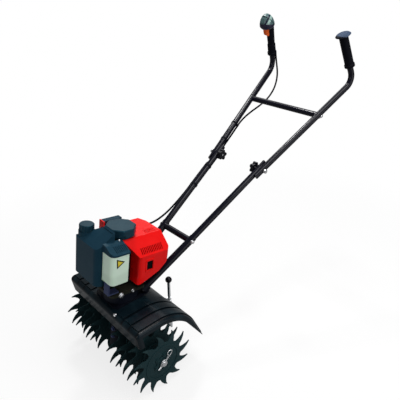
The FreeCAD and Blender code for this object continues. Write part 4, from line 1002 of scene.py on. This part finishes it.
def dress(nodes: dict[str, Solid], names: Iterable[str], finish: Finish) -> None:
    """Give CAD nodes one finish.

    Args:
        nodes: The frame's nodes by name.
        names: The nodes to dress.
        finish: The finish to lay on them.
    """
    for name in names:
        nodes[name].data.materials.clear()
        nodes[name].data.materials.append(finish.material())
        log.info("%s: %s", name, finish.name)


def surface(node: Solid, start: Vector, way: Vector) -> Vector:
    """Where a line first meets a node.

    Args:
        node: The CAD node, which sits at the origin.
        start: A point outside it, in metres.
        way: The direction of the line.

    Returns:
        The meeting point.

    Raises:
        ValueError: If the line misses the node.
    """
    found, place, _, _ = node.ray_cast(start, way.normalized())
    if not found:
        raise ValueError(f"no surface of {node.name} at {tuple(start)}")
    return place


class Head(Enum):
    """The kinds of fastener head: number of sides, then the inset and rise of each step of the crown."""

    HEX = (6, ((0.16, 0.10),))
    DOME = (20, ((0.30, 0.30), (0.30, 0.10)))
    SOCKET = (24, ())

    @property
    def sides(self) -> int:
        """Number of sides."""
        return self.value[0]

    @property
    def steps(self) -> tuple[tuple[float, float], ...]:
        """Each step's inset and rise, as shares of the head's radius and height."""
        return self.value[1]


@dataclass(frozen=True)
class Fastener:
    """A screw or bolt head on its washer, made once and copied to every place."""

    head: Head
    radius: float
    height: float
    washer_radius: float
    washer_height: float
    washer_sides: int = 28
    washer_edge: float = 0.3
    head_edge: float = 0.07
    socket_inset: float = 0.42
    socket_depth: float = 0.55
    turn_step: float = 17.0

    def make(self) -> Solid:
        """Model one fastener that stands on the origin along +Z.

        Returns:
            The head with its washer, joined.
        """
        washer = Bench.rod(self.washer_radius, self.washer_height, self.washer_sides)
        Bench.soften(washer, self.washer_height * self.washer_edge)
        head = Bench.rod(self.radius, self.height, self.head.sides, self.washer_height)
        for inset, rise in self.head.steps:
            Bench.crown(head, self.radius * inset, self.height * rise)
        if self.head is Head.SOCKET:
            Bench.recess(head, self.radius * self.socket_inset, self.height * self.socket_depth)
        Bench.soften(head, self.radius * self.head_edge)
        return Bench.join([washer, head], "fastener")

    def place(self, name: str, places: Sequence[tuple[Vector, Vector]], body: Body,
              finish: Finish = ZINC, slot: str = "zinc") -> None:
        """Copy the fastener to each place and join the copies into one piece.

        Args:
            name: The name of the joined piece.
            places: Foot and axis of each fastener.
            body: The body that carries them.
            finish: Their finish.
            slot: The record's material slot.
        """
        first = self.make()
        pieces = [first] + [Bench.copy(first) for _ in places[1:]]
        for index, (piece, (foot, axis)) in enumerate(zip(pieces, places)):
            Bench.seat(piece, foot, axis, self.turn_step * index)
        Bench.finish(Bench.join(pieces, name), name, body, finish, slot)


@dataclass(frozen=True)
class EngineFrame:
    """The frame that leans back with the engine: u to the left, v to the rear, w up from the axle."""

    axle: Vector
    lean_deg: float = 9.0

    def way(self, u: float, v: float, w: float) -> Vector:
        """A direction of the leaning frame in the row frame."""
        lean = math.radians(self.lean_deg)
        return Vector((u, v * math.cos(lean) + w * math.sin(lean), w * math.cos(lean) - v * math.sin(lean)))

    def point(self, u: float, v: float, w: float) -> Vector:
        """A point of the leaning frame in the row frame, in metres."""
        return self.axle + self.way(u, v, w)


# ---- sub-assemblies ----------------------------------------------------------------------


@dataclass
class Rotor:
    """Tine discs, shaft and hitch pins."""

    nodes: dict[str, Solid]
    axle: Vector

    def build(self) -> None:
        """Dress the rotor."""
        tine = TineSteel("tine_paint", axle_y=self.axle.y, axle_z=self.axle.z)
        dress(self.nodes, ("tine_set_left", "tine_set_right"), tine)
        dress(self.nodes, ("output_shaft",), ZINC)
        dress(self.nodes, ("hitch_pins",), CHROME)


@dataclass
class GearCase:
    """Gear case, clutch bell, their plate and the fender."""

    nodes: dict[str, Solid]
    case_bolt: Fastener = Fastener(Head.HEX, 0.0062, 0.0046, 0.0080, 0.0014)
    case_bolt_levels: tuple[float, ...] = (0.152, 0.123)
    case_bolt_x: float = 0.006
    case_bolt_sink: float = 0.0004
    case_bolt_way: Place = (0.10, -1.0, 0.0)
    fender_bolt: Fastener = Fastener(Head.DOME, 0.0044, 0.0030, 0.0058, 0.0010)
    fender_bolt_x: float = 0.0715
    fender_bolt_y: float = -0.4941
    fender_bolt_way: Place = (0.0, -0.485, 0.875)

    def build(self) -> None:
        """Dress the castings, plate and fender and add their bolts."""
        dress(self.nodes, ("gearbox_housing", "clutch_housing"), CASTING)
        dress(self.nodes, ("handle_mount", "stake_sleeve"), PLATE)
        dress(self.nodes, ("fender",), FenderPlastic("fender_plastic"))
        self._case_bolts()
        self._fender_bolt()

    def _case_bolts(self) -> None:
        """Bolts down the front of the gear case, where its halves meet."""
        places = []
        for level in self.case_bolt_levels:
            start = Vector((self.case_bolt_x, -CLEAR_OF_MACHINE, level))
            front = surface(self.nodes["gearbox_housing"], start, REAR)
            places.append((front + REAR * self.case_bolt_sink, Vector(self.case_bolt_way)))
        self.case_bolt.place("gear_case_bolts", places, Body.FRAME, BRACKET, "cast_grey")

    def _fender_bolt(self) -> None:
        """The bolt on the left of the fender's front roll."""
        start = Vector((self.fender_bolt_x, self.fender_bolt_y, CLEAR_OF_MACHINE))
        foot = surface(self.nodes["fender"], start, -UP)
        self.fender_bolt.place("fender_bolt", [(foot, Vector(self.fender_bolt_way))], Body.FRAME)


@dataclass
class Engine:
    """Covers, starter, tank and carburettor, with their screws and the blank sign."""

    nodes: dict[str, Solid]
    frame: EngineFrame
    fuel_height: float = 0.3
    small_bolt: Fastener = Fastener(Head.SOCKET, 0.0042, 0.0040, 0.0052, 0.0010)
    small_bolt_y: float = -0.4205
    small_bolt_z: float = 0.3206
    large_bolt: Fastener = Fastener(Head.HEX, 0.0072, 0.0050, 0.0092, 0.0016)
    large_bolt_y: float = -0.4625
    large_bolt_z: float = 0.3252
    cover_screw: Fastener = Fastener(Head.DOME, 0.0034, 0.0024, 0.0042, 0.0008)
    cover_screw_x: float = 0.0350
    cover_screw_y: float = -0.4310
    vent_u: float = 0.0715
    vent_v: float = 0.018
    vent_w: float = 0.284
    vent_width: float = 0.024
    vent_height: float = 0.032
    vent_lap: float = 0.002
    vent_thickness: float = 0.0016
    vent_cuts: int = 4
    vent_cell_rim: float = 0.0012
    vent_cell_depth: float = 0.0008
    sign_y: float = -0.4645
    sign_z: float = 0.4527
    sign_corners: int = 3
    sign_turn: float = -5.0
    sign_corner_turn: float = 80.0
    sign_corner_steps: int = 3
    rim_radius: float = 0.0185
    rim_thickness: float = 0.0005
    rim_corner: float = 0.00185
    field_radius: float = 0.01147
    field_thickness: float = 0.0003
    field_corner: float = 0.001295

    def build(self) -> None:
        """Dress the engine and add its small pieces."""
        dress(self.nodes, ("engine_base", "carburettor"), ENGINE)
        dress(self.nodes, ("engine_block",), VOID)
        dress(self.nodes, ("fan_shroud",), RED)
        dress(self.nodes, ("front_cover", "tank_shoulder", "air_cleaner"), COVER)
        dress(self.nodes, ("starter_housing", "fuel_cap"), CAP)
        dress(self.nodes, ("tank_rest",), BRACKET)
        low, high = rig.box("fuel_tank")
        level = low.z + self.fuel_height * (high.z - low.z)
        dress(self.nodes, ("fuel_tank",), TankPlastic("milky_plastic", level=level))
        self._base_bolts()
        self._cover_screw()
        self._vent_screen()
        self._sign()

    def _base_bolts(self) -> None:
        """A screw and a bolt in the left side of the engine's base."""
        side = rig.box("engine_base")[1].x
        small_foot = Vector((side, self.small_bolt_y, self.small_bolt_z))
        large_foot = Vector((side, self.large_bolt_y, self.large_bolt_z))
        self.small_bolt.place("base_screws", [(small_foot, LEFT)], Body.FRAME)
        self.large_bolt.place("base_bolts", [(large_foot, LEFT)], Body.FRAME)

    def _cover_screw(self) -> None:
        """The screw beside the starter."""
        start = Vector((self.cover_screw_x, self.cover_screw_y, CLEAR_OF_MACHINE))
        foot = surface(self.nodes["tank_shoulder"], start, -UP)
        self.cover_screw.place("cover_screw", [(foot, self.frame.way(0.0, 0.0, 1.0))], Body.FRAME)

    def _vent_screen(self) -> None:
        """A dark screen of small cells behind the shroud's side vent."""
        screen = Bench.block(self.vent_height / 2 + self.vent_lap, self.vent_width / 2 + self.vent_lap,
                             self.vent_thickness)
        Bench.cells(screen, self.vent_cuts, self.vent_cell_rim, self.vent_cell_depth)
        Bench.seat(screen, self.frame.point(self.vent_u, self.vent_v, self.vent_w), LEFT)
        Bench.finish(screen, "vent_screen", Body.FRAME, SCREEN, "black_plastic")

    def _sign(self) -> None:
        """A blank three-cornered sign on the tank's left side: a dark rim with a yellow field on it."""
        start = Vector((CLEAR_OF_MACHINE, self.sign_y, self.sign_z))
        foot = surface(self.nodes["fuel_tank"], start, -LEFT)
        rim = Bench.rod(self.rim_radius, self.rim_thickness, self.sign_corners)
        field = Bench.rod(self.field_radius, self.field_thickness, self.sign_corners, self.rim_thickness)
        for piece, corner, name, finish in ((rim, self.rim_corner, "sign_rim", SIGN_RIM),
                                            (field, self.field_corner, "sign_field", SIGN)):
            Bench.soften(piece, corner, self.sign_corner_steps, self.sign_corner_turn)
            Bench.seat(piece, foot, LEFT, self.sign_turn)
            Bench.finish(piece, name, Body.FRAME, finish, "tank_plastic")


@dataclass
class Handlebar:
    """Tubes, crossbars, knobs, grips and the throttle."""

    nodes: dict[str, Solid]
    bar_bolt: Fastener = Fastener(Head.DOME, 0.0058, 0.0036, 0.0074, 0.0012)
    bar_bolt_sink: float = 0.0015
    grip_cap_depth: float = 0.016

    def build(self) -> None:
        """Dress the handlebar and add its bolts."""
        tubes = [name for name in self.nodes if "_tube_" in name or "crossbar" in name]
        dress(self.nodes, tubes, TUBE)
        dress(self.nodes, ("pivot_bolt_left", "pivot_bolt_right"), ZINC)
        dress(self.nodes, ("star_knob_left", "star_knob_right"), KNOB)
        dress(self.nodes, ("cable_ties_upper", "cable_ties_lower"), GripRubber("tie_rubber"))
        for side in ("left", "right"):
            cap_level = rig.box("grip_" + side)[1].z - self.grip_cap_depth
            dress(self.nodes, ("grip_" + side,), GripRubber("grip_rubber_" + side, cap_level=cap_level))
        low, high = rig.box("throttle_head")
        middle = (low + high) / 2
        pod = PodPlastic("pod_plastic", crown=high.z, middle=(middle.x, middle.y))
        dress(self.nodes, ("throttle_head",), pod)
        dress(self.nodes, ("throttle_trigger",), ORANGE)
        self._bar_bolts("lower_crossbar", Body.FRAME, "base_tube_")
        self._bar_bolts("upper_crossbar", Body.HANDLE, "upper_tube_")

    def _bar_bolts(self, bar: str, body: Body, tube: str) -> None:
        """A bolt head at each end of a crossbar, sunk a little into the tube's round side.

        Args:
            bar: The crossbar's node.
            body: The body that carries it.
            tube: The start of the name of the tubes that the heads stand on.
        """
        low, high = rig.box(bar)
        middle = (low + high) / 2
        places = []
        for side, out in (("left", LEFT), ("right", -LEFT)):
            start = Vector((out.x * CLEAR_OF_MACHINE, middle.y, middle.z))
            foot = surface(self.nodes[tube + side], start, -out)
            places.append((foot - out * self.bar_bolt_sink, out))
        self.bar_bolt.place(bar + "_bolts", places, body)


@dataclass
class Stake:
    """The depth stake and its ball knob."""

    nodes: dict[str, Solid]

    def build(self) -> None:
        """Dress the stake."""
        dress(self.nodes, ("depth_stake",), CHROME)
        dress(self.nodes, ("stake_knob",), KNOB)


@dataclass
class ThrottleCable:
    """The throttle cable: one run on the folding handle, one on the frame, and the bend past the pivot."""

    diameter: float = 0.007
    steps_along: int = 12
    steps_round: int = 5
    upper_route: tuple[Place, ...] = (
        (-0.1673, 0.5129, 0.8949), (-0.1725, 0.5280, 0.8604), (-0.1660, 0.5368, 0.8050),
        (-0.1580, 0.5150, 0.7560), (-0.1500, 0.4680, 0.7220), (-0.1420, 0.4050, 0.7020),
        (-0.1365, 0.3430, 0.6900), (-0.1323, 0.2785, 0.6684), (-0.1222, 0.2256, 0.6350),
        (-0.1142, 0.1779, 0.6076),
    )
    bend_route: tuple[Place, ...] = (
        (-0.1142, 0.1779, 0.6076), (-0.1121, 0.1658, 0.6007), (-0.1128, 0.1427, 0.5766),
        (-0.1124, 0.1220, 0.5586), (-0.1117, 0.0967, 0.5490), (-0.1119, 0.0743, 0.5545),
        (-0.1106, 0.0624, 0.5472),
    )
    lower_route: tuple[Place, ...] = (
        (-0.1106, 0.0624, 0.5472), (-0.1051, 0.0062, 0.5130), (-0.0984, -0.0448, 0.4820),
        (-0.0960, -0.0950, 0.4520), (-0.0950, -0.1490, 0.4240), (-0.0950, -0.2020, 0.4100),
        (-0.0950, -0.2460, 0.4140), (-0.0950, -0.3049, 0.4233),
    )
    upper_length: float = 0.521
    lower_length: float = 0.4035
    bend_length: float = 0.136
    rubber: Finish = GripRubber("cable_rubber")

    def build(self) -> None:
        """Lay the three runs of the cable."""
        self._run("upper", self.upper_route, self.upper_length, Body.HANDLE)
        self._run("lower", self.lower_route, self.lower_length, Body.FRAME)
        self._bend()

    def _line(self, name: str, route: Sequence[Place], thickness: float) -> Solid:
        """One smooth open line, with a route as its control points.

        Args:
            name: The piece's name.
            route: Its control points, in metres.
            thickness: Its diameter, or nought for the bare line.

        Returns:
            The curve object.
        """
        curve = bpy.data.curves.new(name, "CURVE")
        curve.dimensions = "3D"
        curve.resolution_u = self.steps_along
        spline = curve.splines.new("NURBS")
        spline.points.add(len(route) - 1)
        for point, place in zip(spline.points, route):
            point.co = (*place, 1.0)
        spline.order_u = 3
        spline.use_endpoint_u = True
        curve.bevel_depth = thickness / 2
        curve.bevel_resolution = self.steps_round
        curve.use_fill_caps = True
        line = bpy.data.objects.new(name, curve)
        bpy.context.scene.collection.objects.link(line)
        return line

    def _run(self, half: str, route: Sequence[Place], length: float, body: Body) -> None:
        """Lay a run that keeps its shape, in the place of its CAD node.

        Args:
            half: Which half of the cable it is, upper or lower.
            route: Its control points, in metres.
            length: Its real length, in metres.
            body: The body that carries it.
        """
        run = self._line("throttle_cable_run_" + half, route, self.diameter)
        run.data.materials.append(self.rubber.material())
        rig.ride(run, body.value)
        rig.replaces(run, "throttle_cable_" + half)
        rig.slot(run, "rubber_black")
        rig.cord(run, exit=route[0], length=length, diameter=self.diameter,
                far_end="object", stiffness="stiff", lay="taut")
        log.info("%s on %s", run.name, body.value)

    def _mesh(self, thickness: float) -> bpy.types.Mesh:
        """The bend's line as a mesh.

        Args:
            thickness: Its diameter, or nought for the bare line.

        Returns:
            The mesh.
        """
        line = self._line("throttle_cable_bend", self.bend_route, thickness)
        mesh = bpy.data.meshes.new_from_object(line.evaluated_get(bpy.context.evaluated_depsgraph_get()))
        bpy.data.objects.remove(line)
        return mesh

    def _bend(self) -> None:
        """The short bend past the pivot, which turns as the handle folds."""
        mesh = self._mesh(self.diameter)
        points = [tuple(corner.co) for corner in self._mesh(0.0).vertices]
        bend = bpy.data.objects.new("throttle_cable_bend", mesh)
        bpy.context.scene.collection.objects.link(bend)
        mesh.materials.clear()
        mesh.materials.append(self.rubber.material())
        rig.blend(bend, Body.HANDLE.value, Body.FRAME.value, start=self.bend_route[0], end=self.bend_route[-1])
        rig.slot(bend, "rubber_black")
        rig.cord(bend, exit=self.bend_route[0], length=self.bend_length, diameter=self.diameter,
                far_end="object", stiffness="stiff", lay="taut", path=points)
        log.info("%s: %d faces", bend.name, len(mesh.polygons))


# ---- studio ------------------------------------------------------------------------------


@dataclass(frozen=True)
class Lamp:
    """One soft square lamp."""

    name: str
    place: Place
    size: float
    power: float

    def hang(self, aim: Place) -> None:
        """Put the lamp in the scene, aimed at a place.

        Args:
            aim: Where it points.
        """
        data = bpy.data.lights.new(self.name, "AREA")
        data.size = self.size
        data.energy = self.power
        lamp = bpy.data.objects.new(self.name, data)
        bpy.context.scene.collection.objects.link(lamp)
        lamp.location = self.place
        lamp.rotation_euler = (Vector(aim) - Vector(self.place)).to_track_quat("-Z", "Y").to_euler()


@dataclass
class Studio:
    """Pale floor, soft lamps and the camera."""

    camera_place: Place = (1.0038, -1.0110, 1.2207)
    camera_way: Place = (-0.6437, 0.6032, -0.4709)
    lens: float = 39.97
    sensor: float = 36.0
    view_end: float = 200.0
    floor_half: float = 60.0
    floor_tone: float = 0.25
    floor_roughness: float = 0.9
    near_white: float = 0.80
    near_reach: float = 0.75
    far_reach: float = 1.6
    mirror_share: float = 0.12
    sky: float = 0.14
    lamp_aim: Place = (0.0, 0.0, 0.4)
    lamps: tuple[Lamp, ...] = (
        Lamp("key_lamp", (0.75, 0.10, 2.45), 1.3, 26.0),
        Lamp("back_lamp", (-0.80, 0.30, 2.40), 0.30, 19.0),
        Lamp("fill_lamp", (2.3, 0.3, 0.9), 2.2, 22.0),
        Lamp("front_lamp", (0.2, -2.6, 1.0), 1.0, 11.0),
        Lamp("sheen_lamp", (-1.35, 1.05, 2.05), 1.3, 13.0),
    )

    def build(self) -> None:
        """Make the floor, world, lamps and camera, and show their colours as they are."""
        self._floor()
        self._world()
        for lamp in self.lamps:
            lamp.hang(self.lamp_aim)
        self._camera()
        bpy.context.scene.view_settings.view_transform = "Standard"

    def _seen(self, graph: Graph) -> Signal:
        """One on rays that show the background straight or through glass, and less on mirrored ones.

        Args:
            graph: The node tree that asks.

        Returns:
            The signal.
        """
        straight = graph.add("ShaderNodeLightPath", {}, {}, "Is Camera Ray")
        mirrored = graph.add("ShaderNodeLightPath", {}, {}, "Is Glossy Ray")
        through = graph.add("ShaderNodeLightPath", {}, {}, "Is Transmission Ray")
        return (straight + mirrored * self.mirror_share + through).clamp()

    def _floor(self) -> None:
        """A wide floor that shows white and keeps the machine's shadow."""
        Bench.clear()
        bpy.ops.mesh.primitive_plane_add(size=2 * self.floor_half, location=(0.0, 0.0, 0.0))
        floor = bpy.context.object
        floor.name = "studio_floor"
        paint = Paint("floor_paper")
        seen = self._seen(paint)
        away = (paint.along("X") ** 2.0 + paint.along("Y") ** 2.0) ** 0.5
        white = self.near_white + paint.ramp(away, self.near_reach, self.far_reach) * (1.0 - self.near_white)
        paint.set(Base_Color=paint.mix(seen, (self.floor_tone,) * 3, WHITE), Roughness=self.floor_roughness,
                  Specular_IOR_Level=0.0)
        glow = paint.add("ShaderNodeEmission", {}, {"Color": WHITE, "Strength": 1.0})
        paint.show(paint.add("ShaderNodeMixShader", {}, {0: seen * white, 1: paint.shader, 2: glow}))
        floor.data.materials.append(paint.material)
        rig.stage(floor)

    def _world(self) -> None:
        """Even pale surroundings that show as white."""
        world = bpy.data.worlds.new("studio_world")
        bpy.context.scene.world = world
        world.use_nodes = True
        graph = Graph(world.node_tree, "ShaderNodeOutputWorld")
        strength = self.sky + self._seen(graph) * (1.0 - self.sky)
        graph.show(graph.add("ShaderNodeBackground", {}, {"Color": WHITE, "Strength": strength}))

    def _camera(self) -> None:
        """Put the camera where the machine is seen from its front left."""
        data = bpy.data.cameras.new("camera")
        data.lens = self.lens
        data.sensor_width = self.sensor
        data.clip_end = self.view_end
        camera = bpy.data.objects.new("camera", data)
        bpy.context.scene.collection.objects.link(camera)
        camera.location = self.camera_place
        camera.rotation_euler = Vector(self.camera_way).to_track_quat("-Z", "Y").to_euler()
        bpy.context.scene.camera = camera


def main() -> None:
    """Build every sub-assembly's looks and the studio."""
    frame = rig.load()
    nodes = frame["nodes"]
    cad_low, cad_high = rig.bounds()
    axle_low, axle_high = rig.box("output_shaft")
    axle = (axle_low + axle_high) / 2
    Rotor(nodes, axle).build()
    GearCase(nodes).build()
    Engine(nodes, EngineFrame(axle)).build()
    Handlebar(nodes).build()
    Stake(nodes).build()
    ThrottleCable().build()
    Studio().build()
    low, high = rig.bounds()
    with open("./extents.json", "w") as out:
        json.dump({"cad": [list(cad_low), list(cad_high)], "visual": [list(low), list(high)]}, out)


if __name__ == "__main__":
    logging.basicConfig(level=logging.INFO, format="%(message)s")
    main()
